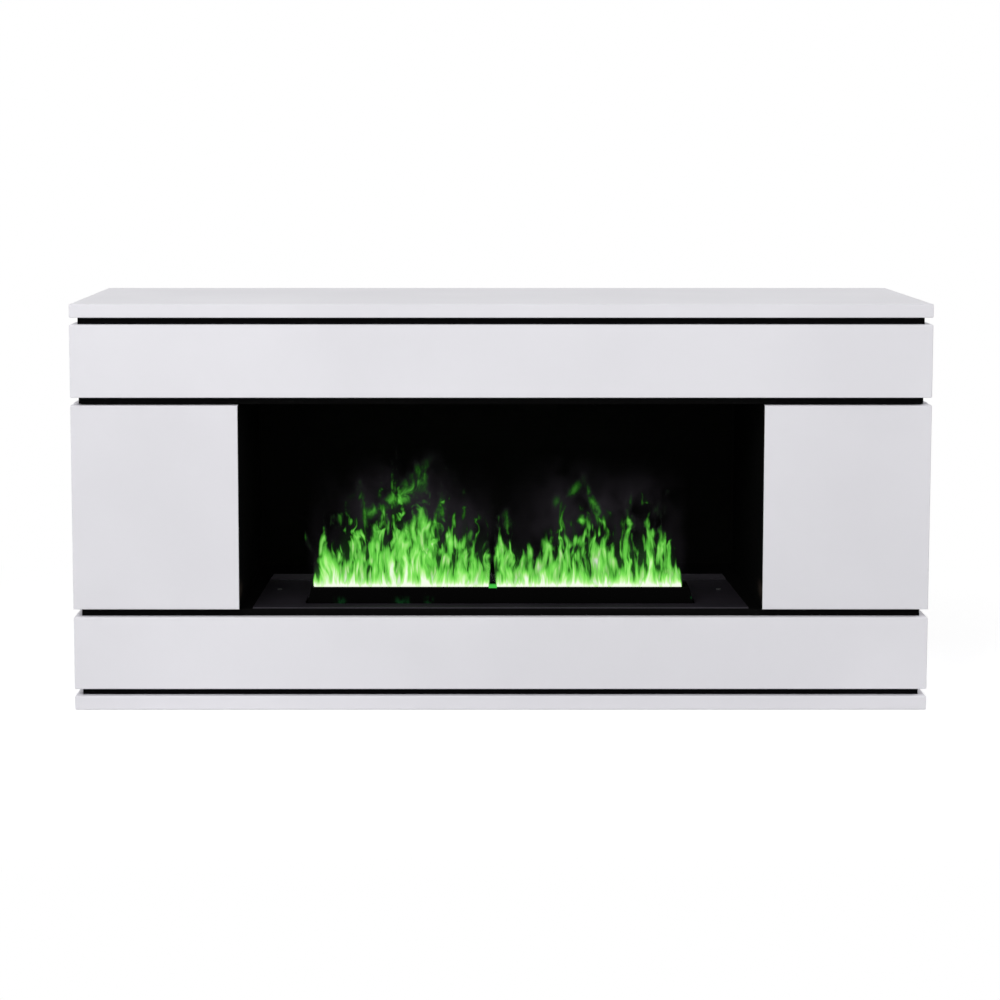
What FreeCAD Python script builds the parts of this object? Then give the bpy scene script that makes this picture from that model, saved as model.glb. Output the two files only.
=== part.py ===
import FreeCAD, Part
import os

import Sketcher
from FreeCAD import Placement, Rotation, Vector

# Fireplace TV stand: white lacquered tiers stacked on recessed black spacer boards,
# two doors beside an open firebox, and a water-mist flame cassette sunk in the firebox floor.
# Origin at the middle of the footprint on the floor, X across, the front at -Y, Z up.

doc = FreeCAD.newDocument("fireplace_stand")
sheet = doc.addObject("Spreadsheet::Sheet", "sizes")


# A size as text for the sheet's expressions, together with its number
class Dim:
    def __init__(self, text, value):
        self.text = text
        self.value = value

    def __add__(self, other):
        return Dim(f"({self.text} + {dim(other).text})", self.value + dim(other).value)

    def __radd__(self, other):
        return dim(other) + self

    def __sub__(self, other):
        return Dim(f"({self.text} - {dim(other).text})", self.value - dim(other).value)

    def __rsub__(self, other):
        return dim(other) - self

    def __mul__(self, other):
        return Dim(f"({self.text} * {dim(other).text})", self.value * dim(other).value)

    __rmul__ = __mul__

    def __truediv__(self, other):
        return Dim(f"({self.text} / {dim(other).text})", self.value / dim(other).value)

    def __neg__(self):
        return self * -1


def dim(number):
    return number if isinstance(number, Dim) else Dim(repr(number), number)


# The sheet's aliases, each as a Dim that can be used in sums
class Sizes:
    def __init__(self, **values):
        for row, (alias, value) in enumerate(values.items(), start=1):
            sheet.set(f"A{row}", alias)
            sheet.set(f"B{row}", str(value))
            sheet.setAlias(f"B{row}", alias)
            setattr(self, alias, Dim("sizes." + alias, value))


s = Sizes(
    # the stack, from the floor up
    width=1400,
    depth=380,
    base_thick=23,
    groove_high=11.5,
    lower_high=120,
    middle_high=339,
    upper_high=119,
    top_thick=22,
    groove_recess=12,
    # boards
    panel_thick=22,
    inner_thick=16,
    back_thick=4,
    firebox_back_thick=10,
    rail_high=40,
    block_side=25,
    eased_edge=1.2,
    back_play=0.5,
    overrun=5,
    # doors
    door_wide=272,
    door_margin=1.5,
    door_seam=3.5,
    door_skin=3.1,
    hinge_edge_round=4,
    hinge_inset=75,
    # hinge cup, let into the back of the door
    pin_inset=11,
    pin_cover=7,
    pin_radius=1.5,
    pin_long=19,
    pin_play=0.05,
    cup_edge_gap=4,
    cup_radius=17.5,
    cup_wall=1,
    cup_floor=0.8,
    cup_play=0.1,
    ear_gap=0.4,
    ear_thick=3,
    ear_reach=4,
    wing_thick=1.2,
    wing_wide=12,
    wing_reach=29,
    # hinge arm and its mounting plate on the side panel
    arm_thick=4.5,
    arm_clear=7.5,
    arm_high=12,
    arm_long=78,
    arm_step=6,
    knuckle_radius=2.9,
    plate_thick=3,
    plate_long=52,
    plate_setback=9,
    plate_high=18,
    plate_wing_wide=14,
    plate_wing_high=52,
    # push latch on each partition
    latch_wide=14,
    latch_high=16,
    latch_long=62,
    latch_drop=60,
    plunger_radius=4,
    plunger_long=48,
    plunger_tip=2,
    plunger_play=0.2,
    strike_side=16,
    strike_thick=1.5,
    touch_gap=0.3,
    # shelves on cleats
    shelf_setback=25,
    shelf_play=1,
    shelf_level=165,
    cleat_side=12,
    cleat_setback=30,
    # back panel
    port_wide=80,
    port_high=45,
    port_rise=60,
    service_wide=420,
    service_high=72,
    service_rise=6,
    # hearth plate on the firebox floor
    hearth_gap_front=20.5,
    hearth_gap_back=29,
    hearth_deep=217,
    hearth_gauge=2.5,
    hearth_inset=1,
    upstand_high=10,
    upstand_trim=7,
    hearth_screw_inset=53,
    hearth_screw_back=134,
    hearth_screw_radius=2,
    hearth_screw_head=4.5,
    hearth_screw_head_high=2,
    hearth_screw_long=11,
    screw_play=0.1,
    # flame trough cover
    trough_setback=43,
    trough_rise=26,
    trough_sunk=6,
    trough_end_gap=18,
    trough_wide=51,
    trough_end_slope=9,
    trough_face_slope=1.5,
    trough_wall=2,
    trough_play=1,
    slot_end_gap=3.5,
    slot_wide=34,
    slot_bridge=13,
    bridge_offset=12.5,
    # cassette below the floor
    housing_side_gap=88,
    housing_front_gap=11.5,
    housing_deep=182,
    housing_lift=9.5,
    sheet_gauge=1.2,
    flange_wide=9,
    flange_play=1,
    basin_wall=3,
    light_wide=4,
    light_high=8,
    light_drop=3,
    mist_radius=17,
    mist_high=24,
    mist_end_gap=80,
    # fan on the housing's rear wall
    fan_side=80,
    fan_deep=25,
    fan_throat_wall=2.5,
    fan_end_gap=150,
    fan_tip_gap=2,
    hub_radius=15,
    hub_long=18,
    hub_setback=2.5,
    spoke_wide=5,
    spoke_thick=2.5,
    fan_shaft_radius=2,
    fan_shaft_play=0.05,
    blade_run=15,
    blade_rise=12,
    blade_thick=1.4,
    # electrics
    inlet_x=60,
    inlet_wide=27,
    inlet_high=20,
    inlet_deep=22,
    inlet_bezel=4,
    inlet_bezel_thick=2.5,
    inlet_wall=2,
    inlet_socket=15,
    inlet_play=0.1,
    prong_wide=2,
    prong_high=4,
    prong_long=12,
    prong_pitch=7,
    switch_gap=34,
    switch_wide=13,
    switch_high=19,
    switch_deep=16,
    switch_wall=1.5,
    switch_bezel=1.5,
    switch_bezel_thick=2,
    rocker_play=0.3,
    rocker_root=6,
    rocker_rise=3.5,
    rocker_tilt=9,
    rocker_pin_radius=1,
    supply_long=120,
    supply_wide=52,
    supply_high=36,
    supply_end_gap=50,
    board_long=150,
    board_wide=60,
    board_gauge=1.6,
    board_post=6,
    board_post_radius=3,
    board_gap=40,
)
blade_count = 7
mist_count = 4
blade_root_share = 0.85
rocker_tip_share = 0.93
doc.recompute()

# Levels and planes worked out from the sizes
half_width = s.width / 2
front = -s.depth / 2
back = s.depth / 2
base_spacer_z = s.base_thick
lower_z = base_spacer_z + s.groove_high
floor_spacer_z = lower_z + s.lower_high
middle_z = floor_spacer_z + s.groove_high
ceiling_spacer_z = middle_z + s.middle_high
upper_z = ceiling_spacer_z + s.groove_high
top_spacer_z = upper_z + s.upper_high
top_z = top_spacer_z + s.groove_high
panel_back = front + s.panel_thick
inner_front = panel_back + s.door_seam
inner_back = back - s.back_thick
side_inner = half_width - s.panel_thick
bay_half = half_width - s.door_wide
partition_mid = bay_half + s.inner_thick / 2
sides = {"left": -1, "right": 1}

pieces = []


# Plain helpers: bind a property, place an object, and make the basic shapes
def bind(obj, prop, size):
    obj.setExpression(prop, dim(size).text)


def place(obj, corner, turn=None):
    if turn:
        obj.Placement = Placement(Vector(), turn)
    for axis, where in zip("xyz", corner):
        bind(obj, "Placement.Base." + axis, where)
    return obj


def box(name, size, corner):
    obj = doc.addObject("Part::Box", name)
    for prop, length in zip(("Length", "Width", "Height"), size):
        bind(obj, prop, length)
    return place(obj, corner)


turns = {
    "+z": Rotation(),
    "-z": Rotation(Vector(1, 0, 0), 180),
    "+y": Rotation(Vector(1, 0, 0), -90),
    "-y": Rotation(Vector(1, 0, 0), 90),
    "+x": Rotation(Vector(0, 1, 0), 90),
}


def cylinder(name, radius, length, start, axis="+z"):
    obj = doc.addObject("Part::Cylinder", name)
    bind(obj, "Radius", radius)
    bind(obj, "Height", length)
    return place(obj, start, turns[axis])


def group(name, members):
    obj = doc.addObject("Part::Compound", name)
    obj.Links = members
    return obj


def fuse(name, members):
    obj = doc.addObject("Part::MultiFuse", name)
    obj.Shapes = members
    return obj


def cut(name, base, *tools):
    obj = doc.addObject("Part::Cut", name)
    obj.Base = base
    obj.Tool = tools[0] if len(tools) == 1 else group(name + "_tools", list(tools))
    return obj


def common(name, first, second):
    obj = doc.addObject("Part::MultiCommon", name)
    obj.Shapes = [first, second]
    return obj


# Marks a finished piece and gives it the name of its file
def keep(label, obj):
    obj.Label = label
    pieces.append(obj)
    return obj


# A screw that points along axis from its seat: pan head above the seat, and its clearance hole
def pan_screw(name, head, head_high, radius, length, seat, axis):
    inward = turns[axis].multVec(Vector(0, 0, 1))
    top = [where - head_high * round(part) for where, part in zip(seat, inward)]
    disc = cylinder(name + "_head", head, head_high, top, axis)
    shank = cylinder(name + "_shank", radius, length, seat, axis)
    return fuse(name, [disc, shank])


def screw_hole(name, radius, length, seat, axis):
    return cylinder(name, radius + s.screw_play, length + s.screw_play, seat, axis)


# PartDesign helpers: a body, a sketch on one of its planes, a closed outline and features
def new_body(name, corner):
    return place(doc.addObject("PartDesign::Body", name), corner)


def sketch_on(body, role, name, offset=0):
    sketch = body.newObject("Sketcher::SketchObject", name)
    plane = [feature for feature in body.Origin.OriginFeatures if feature.Role == role][0]
    sketch.AttachmentSupport = [(plane, "")]
    sketch.MapMode = "FlatFace"
    bind(sketch, "AttachmentOffset.Base.z", offset)
    return sketch


def fix_point(sketch, edge, vertex, point):
    for kind, axis, size in zip(("DistanceX", "DistanceY"), (-2, -1), point):
        size = dim(size)
        if size.value == 0:
            sketch.addConstraint(Sketcher.Constraint("PointOnObject", edge, vertex, axis))
        else:
            which = sketch.addConstraint(Sketcher.Constraint(kind, -1, 1, edge, vertex, size.value))
            sketch.setExpression(f"Constraints[{which}]", size.text)


def outline(sketch, points):
    first = sketch.GeometryCount
    count = len(points)
    ends = [Vector(dim(x).value, dim(y).value, 0) for x, y in points]
    for i in range(count):
        sketch.addGeometry(Part.LineSegment(ends[i], ends[(i + 1) % count]), False)
    for i in range(count):
        joint = Sketcher.Constraint("Coincident", first + i, 2, first + (i + 1) % count, 1)
        sketch.addConstraint(joint)
    for i in range(count):
        fix_point(sketch, first + i, 1, points[i])


def circle(sketch, centre, radius):
    middle = Vector(dim(centre[0]).value, dim(centre[1]).value, 0)
    edge = sketch.addGeometry(Part.Circle(middle, Vector(0, 0, 1), radius.value), False)
    which = sketch.addConstraint(Sketcher.Constraint("Radius", edge, radius.value))
    sketch.setExpression(f"Constraints[{which}]", radius.text)
    fix_point(sketch, edge, 3, centre)


def rectangle(sketch, low, high):
    outline(sketch, [(low[0], low[1]), (high[0], low[1]), (high[0], high[1]), (low[0], high[1])])


def pad(body, sketch, name, length, midplane=False, backwards=False):
    feature = body.newObject("PartDesign::Pad", name)
    feature.Profile = sketch
    bind(feature, "Length", length)
    feature.Midplane = midplane
    feature.Reversed = backwards
    return feature


def pocket(body, sketch, name, depth, midplane=False, backwards=False):
    feature = body.newObject("PartDesign::Pocket", name)
    feature.Profile = sketch
    bind(feature, "Length", depth)
    feature.Midplane = midplane
    feature.Reversed = backwards
    return feature


# Rounds or eases those edges of the last feature whose bounds pass the test
def dress(body, feature, kind, name, prop, size, test):
    doc.recompute()
    names = []
    for number, edge in enumerate(feature.Shape.Edges, start=1):
        if test(edge.BoundBox):
            names.append(f"Edge{number}")
    dressing = body.newObject(kind, name)
    dressing.Base = (feature, names)
    bind(dressing, prop, size)
    return dressing


def ease(body, feature, name, test):
    return dress(body, feature, "PartDesign::Chamfer", name, "Size", s.eased_edge, test)


# A lacquered board with every edge eased
def eased_board(name, size, corner):
    body = new_body(name, corner)
    sketch = sketch_on(body, "XY_Plane", name + "_outline")
    rectangle(sketch, (0, 0), (size[0], size[1]))
    slab = pad(body, sketch, name + "_slab", size[2])
    ease(body, slab, name + "_edges", lambda bounds: True)
    return body


# Base and top boards, full width and depth
for label, thick, z in (("base_board", s.base_thick, 0), ("top_board", s.top_thick, top_z)):
    keep(label, eased_board(label, (s.width, s.depth, thick), (-half_width, front, z)))


# Black spacer boards, set back from the front and the sides
def spacer(label, z):
    half = half_width - s.groove_recess
    deep = s.depth - s.groove_recess - s.back_thick
    size = (2 * half, deep, s.groove_high)
    return box(label, size, (-half, front + s.groove_recess, z))


for label, z in (("base_spacer", base_spacer_z), ("ceiling_spacer", ceiling_spacer_z),
                 ("top_spacer", top_spacer_z)):
    keep(label, spacer(label, z))


# Upper and lower tier: fascia, side panels, dividers, back rail and corner blocks
def tier(name, z, high):
    fascia = eased_board(name + "_fascia", (s.width, s.panel_thick, high), (-half_width, front, z))
    keep(name + "_fascia", fascia)
    side_deep = s.depth - s.panel_thick
    divider_deep = inner_back - s.inner_thick - panel_back
    for side, sign in sides.items():
        edge = -half_width if sign < 0 else side_inner
        panel = eased_board(f"{name}_side_{side}", (s.panel_thick, side_deep, high), (edge, panel_back, z))
        keep(f"{name}_side_{side}", panel)
        left = partition_mid * sign - s.inner_thick / 2
        size = (s.inner_thick, divider_deep, high)
        keep(f"{name}_divider_{side}", box(f"{name}_divider_{side}", size, (left, panel_back, z)))
        block_x = -side_inner if sign < 0 else side_inner - s.block_side
        for end, y in (("front", panel_back), ("rear", inner_back - s.inner_thick - s.block_side)):
            size = (s.block_side, s.block_side, high)
            corner_blocks.append(box(f"{name}_block_{side}_{end}", size, (block_x, y, z)))
    size = (2 * side_inner, s.inner_thick, s.rail_high)
    corner = (-side_inner, inner_back - s.inner_thick, z + high - s.rail_high)
    keep(name + "_back_rail", box(name + "_back_rail", size, corner))


corner_blocks = []
tier("lower", lower_z, s.lower_high)
tier("upper", upper_z, s.upper_high)
keep("corner_blocks", group("corner_block_set", corner_blocks))

# Middle tier: places of the hinges and latches
door_z = middle_z + s.door_margin
door_high = s.middle_high - 2 * s.door_margin
hinge_levels = {"lower": door_z + s.hinge_inset, "upper": door_z + door_high - s.hinge_inset}
pin_y = front + s.pin_cover
cup_inset = s.cup_edge_gap + s.cup_radius
cup_deep = s.panel_thick - s.door_skin
latch_z = ceiling_spacer_z - s.latch_drop


# A place measured inwards from the outer face of one side
def from_side(sign, inset):
    return (half_width - inset) * sign


# Shelves, each on two cleats along the side panel and the partition
def shelves():
    cleats = []
    bottom = middle_z + s.shelf_level
    inner = bay_half + s.inner_thick
    near = inner_front + s.shelf_setback
    deep = inner_back - s.shelf_play - near
    for side, sign in sides.items():
        wide = side_inner - inner - 2 * s.shelf_play
        low_x = -side_inner + s.shelf_play if sign < 0 else inner + s.shelf_play
        keep(f"shelf_{side}", box(f"shelf_{side}", (wide, deep, s.inner_thick), (low_x, near, bottom)))
        size = (s.cleat_side, deep - 2 * s.cleat_setback, s.cleat_side)
        outer_x = -side_inner if sign < 0 else side_inner - s.cleat_side
        inner_x = -inner - s.cleat_side if sign < 0 else inner
        for wall, x in (("outer", outer_x), ("inner", inner_x)):
            corner = (x, near + s.cleat_setback, bottom - s.cleat_side)
            cleats.append(box(f"cleat_{side}_{wall}", size, corner))
    keep("shelf_cleats", group("shelf_cleat_set", cleats))


shelves()


# Hinge mounting plates on the side panels, each a spine with wings above and below
def hinge_plates():
    plates = []
    for side, sign in sides.items():
        low_x = -side_inner if sign < 0 else side_inner - s.plate_thick
        near = inner_front + s.plate_setback
        wing_y = near + (s.plate_long - s.plate_wing_wide) / 2
        for level, z in hinge_levels.items():
            name = f"hinge_plate_{side}_{level}"
            size = (s.plate_thick, s.plate_long, s.plate_high)
            spine = box(name + "_spine", size, (low_x, near, z - s.plate_high / 2))
            size = (s.plate_thick, s.plate_wing_wide, s.plate_wing_high)
            wing = box(name + "_wing", size, (low_x, wing_y, z - s.plate_wing_high / 2))
            plates.append(fuse(name, [spine, wing]))
    keep("hinge_plates", group("hinge_plate_set", plates))


hinge_plates()

# Side panels, partitions and the firebox back
for side, sign in sides.items():
    side_size = (s.panel_thick, back - inner_front, s.middle_high)
    corner = (-half_width if sign < 0 else side_inner, inner_front, middle_z)
    keep(f"middle_side_{side}", eased_board(f"middle_side_{side}", side_size, corner))
    part_size = (s.inner_thick, inner_back - inner_front, s.middle_high)
    corner = (partition_mid * sign - s.inner_thick / 2, inner_front, middle_z)
    keep(f"partition_{side}", box(f"partition_{side}", part_size, corner))
firebox_size = (2 * bay_half, s.firebox_back_thick, s.middle_high)
firebox_corner = (-bay_half, inner_back - s.firebox_back_thick, middle_z)
keep("firebox_back", box("firebox_back", firebox_size, firebox_corner))


# One hinge cup with two ears that carry the pin, and wings flat on the back of the door
def hinge_cup(name, sign, z):
    centre_x = from_side(sign, cup_inset)
    pin_x = from_side(sign, s.pin_inset)
    bottom = panel_back - cup_deep
    shell = cylinder(name + "_shell", s.cup_radius, cup_deep, (centre_x, bottom, z), "+y")
    size = (s.wing_wide, s.wing_thick, 2 * s.wing_reach)
    corner = (centre_x - s.wing_wide / 2, panel_back, z - s.wing_reach)
    wings = box(name + "_wings", size, corner)
    hollow_radius = s.cup_radius - s.cup_wall
    hollow_start = (centre_x, bottom + s.cup_floor, z)
    hollow = cylinder(name + "_hollow", hollow_radius, cup_deep + s.overrun, hollow_start, "+y")
    frame = cut(name + "_frame", fuse(name + "_blank", [shell, wings]), hollow)
    ears = []
    near = s.arm_high / 2 + s.ear_gap
    for end, low_z in (("top", z + near), ("bottom", z - near - s.ear_thick)):
        low_x = pin_x - s.ear_reach - s.overrun if sign < 0 else pin_x - s.ear_reach
        size = (2 * s.ear_reach + s.overrun, pin_y + s.ear_reach - bottom, s.ear_thick)
        block = box(f"{name}_ear_{end}_block", size, (low_x, bottom, low_z))
        rim = cylinder(f"{name}_ear_{end}_rim", s.cup_radius, cup_deep, (centre_x, bottom, z), "+y")
        ears.append(common(f"{name}_ear_{end}", block, rim))
    pin_start = (pin_x, pin_y, z - s.pin_long / 2)
    pin_bore = cylinder(name + "_pin_bore", s.pin_radius, s.pin_long, pin_start)
    return cut(name, fuse(name + "_eared", [frame] + ears), pin_bore)


# One goose-neck arm: round the front corner of the side panel, out of the cup, on to its plate
def hinge_arm(name, sign, z):
    body = new_body(name, (from_side(sign, s.pin_inset), pin_y, z))
    half = s.arm_thick / 2
    wall = s.panel_thick - s.pin_inset
    reach = wall + s.arm_clear
    seat = wall + s.plate_thick
    step = inner_front - pin_y + s.arm_step
    plan = [(0, -half), (reach + half, -half), (reach + half, s.arm_long), (seat, s.arm_long),
            (seat, step), (reach - half, step), (reach - half, half), (0, half)]
    neck = sketch_on(body, "XY_Plane", name + "_plan")
    outline(neck, [(dim(u) * -sign, v) for u, v in plan])
    pad(body, neck, name + "_neck", s.arm_high, midplane=True)
    eye = sketch_on(body, "XY_Plane", name + "_eye")
    circle(eye, (0, 0), s.knuckle_radius)
    pad(body, eye, name + "_knuckle", s.arm_high, midplane=True)
    bore = sketch_on(body, "XY_Plane", name + "_bore")
    circle(bore, (0, 0), s.pin_radius + s.pin_play)
    pocket(body, bore, name + "_pin_hole", s.arm_high + s.overrun, midplane=True)
    return body


# A door with its hinge cups, pins and latch strike
def door(side, sign):
    body = new_body(f"door_{side}_blank", (half_width * sign, front, door_z))
    plan = sketch_on(body, "XY_Plane", f"door_{side}_plan")
    rectangle(plan, (0, 0), (s.door_wide * -sign, s.panel_thick))
    slab = pad(body, plan, f"door_{side}_slab", door_high)
    thick = s.panel_thick.value
    rounded = dress(body, slab, "PartDesign::Fillet", f"door_{side}_hinge_edge", "Radius", s.hinge_edge_round,
                    lambda b: b.YMin > thick / 2 and b.ZLength > thick and abs(b.XMax) < thick)
    ease(body, rounded, f"door_{side}_front_edges", lambda b: b.YMax < thick / 4)
    bores = []
    cups = []
    pins = []
    for level, z in hinge_levels.items():
        name = f"hinge_{side}_{level}"
        cups.append(hinge_cup(name + "_cup", sign, z))
        pin_start = (from_side(sign, s.pin_inset), pin_y, z - s.pin_long / 2)
        pins.append(cylinder(name + "_pin", s.pin_radius, s.pin_long, pin_start))
        start = (from_side(sign, cup_inset), panel_back - cup_deep, z)
        wide = s.cup_radius + s.cup_play
        bores.append(cylinder(name + "_cup_bore", wide, cup_deep + s.overrun, start, "+y"))
    keep(f"door_{side}", cut(f"door_{side}_bored", body, *bores))
    keep(f"hinge_cups_{side}", group(f"hinge_cup_set_{side}", cups))
    keep(f"hinge_pins_{side}", group(f"hinge_pin_set_{side}", pins))
    half = s.strike_side / 2
    latch_x = (bay_half + s.inner_thick + s.latch_wide / 2) * sign
    size = (s.strike_side, s.strike_thick, s.strike_side)
    keep(f"latch_strike_{side}", box(f"strike_{side}", size, (latch_x - half, panel_back, latch_z - half)))


# Push latch on the partition: a bored body and the plunger that the strike rests against
def latch(side, sign):
    inner = bay_half + s.inner_thick
    low_x = -inner - s.latch_wide if sign < 0 else inner
    size = (s.latch_wide, s.latch_long, s.latch_high)
    block = box(f"latch_{side}_block", size, (low_x, inner_front, latch_z - s.latch_high / 2))
    middle = (inner + s.latch_wide / 2) * sign
    tip = panel_back + s.strike_thick + s.touch_gap
    bore_radius = s.plunger_radius + s.plunger_play
    bore_start = (middle, inner_front - s.overrun, latch_z)
    bore = cylinder(f"latch_{side}_bore", bore_radius, s.latch_long, bore_start, "+y")
    body = new_body(f"latch_plunger_{side}", (middle, tip, latch_z))
    profile = sketch_on(body, "YZ_Plane", f"latch_plunger_{side}_profile")
    outline(profile, [(0, 0), (s.plunger_long, 0), (s.plunger_long, s.plunger_radius),
                      (s.plunger_tip, s.plunger_radius), (0, s.plunger_radius / 2)])
    turned = body.newObject("PartDesign::Revolution", f"latch_plunger_{side}_turned")
    turned.Profile = profile
    turned.ReferenceAxis = (profile, ["H_Axis"])
    turned.Angle = 360
    keep(f"latch_plunger_{side}", body)
    return cut(f"latch_{side}_body", block, bore)


arms = []
latches = []
for side, sign in sides.items():
    door(side, sign)
    latches.append(latch(side, sign))
    for level, z in hinge_levels.items():
        arms.append(hinge_arm(f"hinge_{side}_{level}_arm", sign, z))
keep("hinge_arms", group("hinge_arm_set", arms))
keep("latch_bodies", group("latch_body_set", latches))


# Back panel with two cable ports and a service opening behind the cassette
def back_panel():
    half = side_inner - s.back_play
    size = (2 * half, s.back_thick, top_z - base_spacer_z)
    blank = box("back_panel_blank", size, (-half, inner_back, base_spacer_z))
    near = inner_back - s.overrun
    deep = s.back_thick + 2 * s.overrun
    openings = []
    for side, sign in sides.items():
        middle = (side_inner + bay_half + s.inner_thick) / 2 * sign
        corner = (middle - s.port_wide / 2, near, middle_z + s.port_rise)
        openings.append(box(f"cable_port_{side}", (s.port_wide, deep, s.port_high), corner))
    corner = (-s.service_wide / 2, near, lower_z + s.service_rise)
    openings.append(box("service_opening", (s.service_wide, deep, s.service_high), corner))
    keep("back_panel", cut("back_panel", blank, *openings))


back_panel()

# Flame cassette: its main planes, from the bay and the tier that hold it
trough_y = front + s.trough_setback - s.trough_face_slope + s.trough_wide / 2
trough_half = bay_half - s.housing_side_gap - s.trough_end_gap
hearth_top = middle_z + s.hearth_gauge
hearth_front = front + s.groove_recess + s.hearth_inset
trough_foot = middle_z - s.trough_sunk
trough_top = hearth_top + s.trough_rise
slot_outer = trough_half - s.trough_end_slope - s.slot_end_gap
housing_half = bay_half - s.housing_side_gap
housing_near = trough_y - s.trough_wide / 2 - s.housing_front_gap
housing_far = housing_near + s.housing_deep
housing_bottom = lower_z + s.housing_lift
housing_floor = housing_bottom + s.sheet_gauge
housing_mid_z = (housing_floor + middle_z) / 2
fan_x = s.fan_end_gap - housing_half
fan_bore = s.fan_side / 2 - s.fan_throat_wall
inlet_middle = (s.inlet_x, housing_mid_z)
switch_middle = (s.inlet_x + s.switch_gap, housing_mid_z)


# Hearth plate: tapers to the rear, with a turned-up rear edge and the opening for the trough
def hearth_plate():
    body = new_body("hearth_plate_blank", (0, hearth_front, middle_z))
    near = bay_half - s.hearth_gap_front
    far = bay_half - s.hearth_gap_back
    plan = sketch_on(body, "XY_Plane", "hearth_plan")
    outline(plan, [(-near, 0), (near, 0), (far, s.hearth_deep), (-far, s.hearth_deep)])
    gauge = s.hearth_gauge
    pad(body, plan, "hearth_sheet", gauge)
    rear = sketch_on(body, "XZ_Plane", "hearth_upstand_outline", -s.hearth_deep)
    top = far - s.upstand_trim
    rise = gauge + s.upstand_high
    outline(rear, [(-far, 0), (far, 0), (far, gauge), (top, rise), (-top, rise), (-far, gauge)])
    pad(body, rear, "hearth_upstand", gauge)
    window = sketch_on(body, "XY_Plane", "hearth_window_outline")
    half_long = trough_half + s.trough_play
    half_wide = s.trough_wide / 2 + s.trough_play
    middle = trough_y - hearth_front
    rectangle(window, (-half_long, middle - half_wide), (half_long, middle + half_wide))
    pocket(body, window, "hearth_window", gauge + s.overrun, backwards=True)
    screws = []
    holes = []
    for side, sign in sides.items():
        seat = ((bay_half - s.hearth_screw_inset) * sign, hearth_front + s.hearth_screw_back, hearth_top)
        screws.append(pan_screw(f"hearth_screw_{side}", s.hearth_screw_head, s.hearth_screw_head_high,
                                s.hearth_screw_radius, s.hearth_screw_long, seat, "-z"))
        holes.append(screw_hole(f"hearth_screw_{side}_hole", s.hearth_screw_radius,
                                s.hearth_screw_long, seat, "-z"))
    keep("hearth_plate", cut("hearth_plate_bored", body, *holes))
    keep("hearth_screws", group("hearth_screw_set", screws))
    return holes


hearth_holes = hearth_plate()

# Floor spacer, with the opening that the cassette housing hangs in
hang_out = s.flange_wide + s.flange_play
hang_size = (2 * (housing_half + hang_out), s.housing_deep + 2 * hang_out, s.groove_high + 2 * s.overrun)
hang_corner = (-housing_half - hang_out, housing_near - hang_out, floor_spacer_z - s.overrun)
hang_hole = box("cassette_opening", hang_size, hang_corner)
floor_board = spacer("floor_spacer_blank", floor_spacer_z)
keep("floor_spacer", cut("floor_spacer", floor_board, hang_hole, *hearth_holes))


# Trough cover: a tapered shell with two flame slots and the bridge between them
def wedge(name, foot, top, low, high):
    obj = doc.addObject("Part::Wedge", name)
    for prop, size in (("Xmin", -foot[0]), ("Xmax", foot[0]), ("Zmin", -foot[1]), ("Zmax", foot[1]),
                       ("X2min", -top[0]), ("X2max", top[0]), ("Z2min", -top[1]), ("Z2max", top[1]),
                       ("Ymin", 0), ("Ymax", high - low)):
        bind(obj, prop, size)
    return place(obj, (0, trough_y, low), turns["-y"])


def trough_cover():
    foot = (trough_half, s.trough_wide / 2)
    top = (trough_half - s.trough_end_slope, s.trough_wide / 2 - s.trough_face_slope)
    shell = wedge("trough_shell", foot, top, trough_foot, trough_top)
    inner_foot = [half - s.trough_wall for half in foot]
    inner_top = [half - s.trough_wall for half in top]
    hollow = wedge("trough_hollow", inner_foot, inner_top, trough_foot, trough_top - s.trough_wall)
    slots = []
    for side, sign in sides.items():
        inner = s.slot_bridge / 2 * sign - s.bridge_offset
        low_x = -slot_outer if sign < 0 else inner
        corner = (low_x, trough_y - s.slot_wide / 2, trough_top - s.trough_wall - s.overrun)
        size = (slot_outer - inner * sign, s.slot_wide, s.trough_wall + 2 * s.overrun)
        slots.append(box(f"flame_slot_{side}", size, corner))
    keep("trough_cover", cut("trough_cover_open", shell, hollow, *slots))


trough_cover()


# A box centred on a point of the rear wall, starting at y
def centred_box(name, size, middle, y):
    return box(name, size, (middle[0] - size[0] / 2, y, middle[1] - size[2] / 2))


# Cassette housing: a folded sheet tray with a flange under the hearth plate
def housing():
    gauge = s.sheet_gauge
    out = s.flange_wide
    drop = middle_z - housing_bottom
    size = (2 * housing_half, s.housing_deep, drop)
    tray = box("housing_tray", size, (-housing_half, housing_near, housing_bottom))
    size = (2 * (housing_half + out), s.housing_deep + 2 * out, gauge)
    flange = box("housing_flange", size, (-housing_half - out, housing_near - out, middle_z - gauge))
    size = (2 * (housing_half - gauge), s.housing_deep - 2 * gauge, drop)
    hollow = box("housing_hollow", size, (gauge - housing_half, housing_near + gauge, housing_floor))
    wall = housing_far - s.overrun
    deep = 2 * s.overrun
    air = cylinder("housing_air_hole", fan_bore, deep, (fan_x, wall, housing_mid_z), "+y")
    inlet_hole = centred_box("housing_inlet_hole", (s.inlet_wide, deep, s.inlet_high), inlet_middle, wall)
    size = (s.switch_wide, deep, s.switch_high)
    switch_hole = centred_box("housing_switch_hole", size, switch_middle, wall)
    blank = fuse("housing_blank", [tray, flange])
    keep("cassette_housing", cut("cassette_housing", blank, hollow, air, inlet_hole, switch_hole))


housing()


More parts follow.
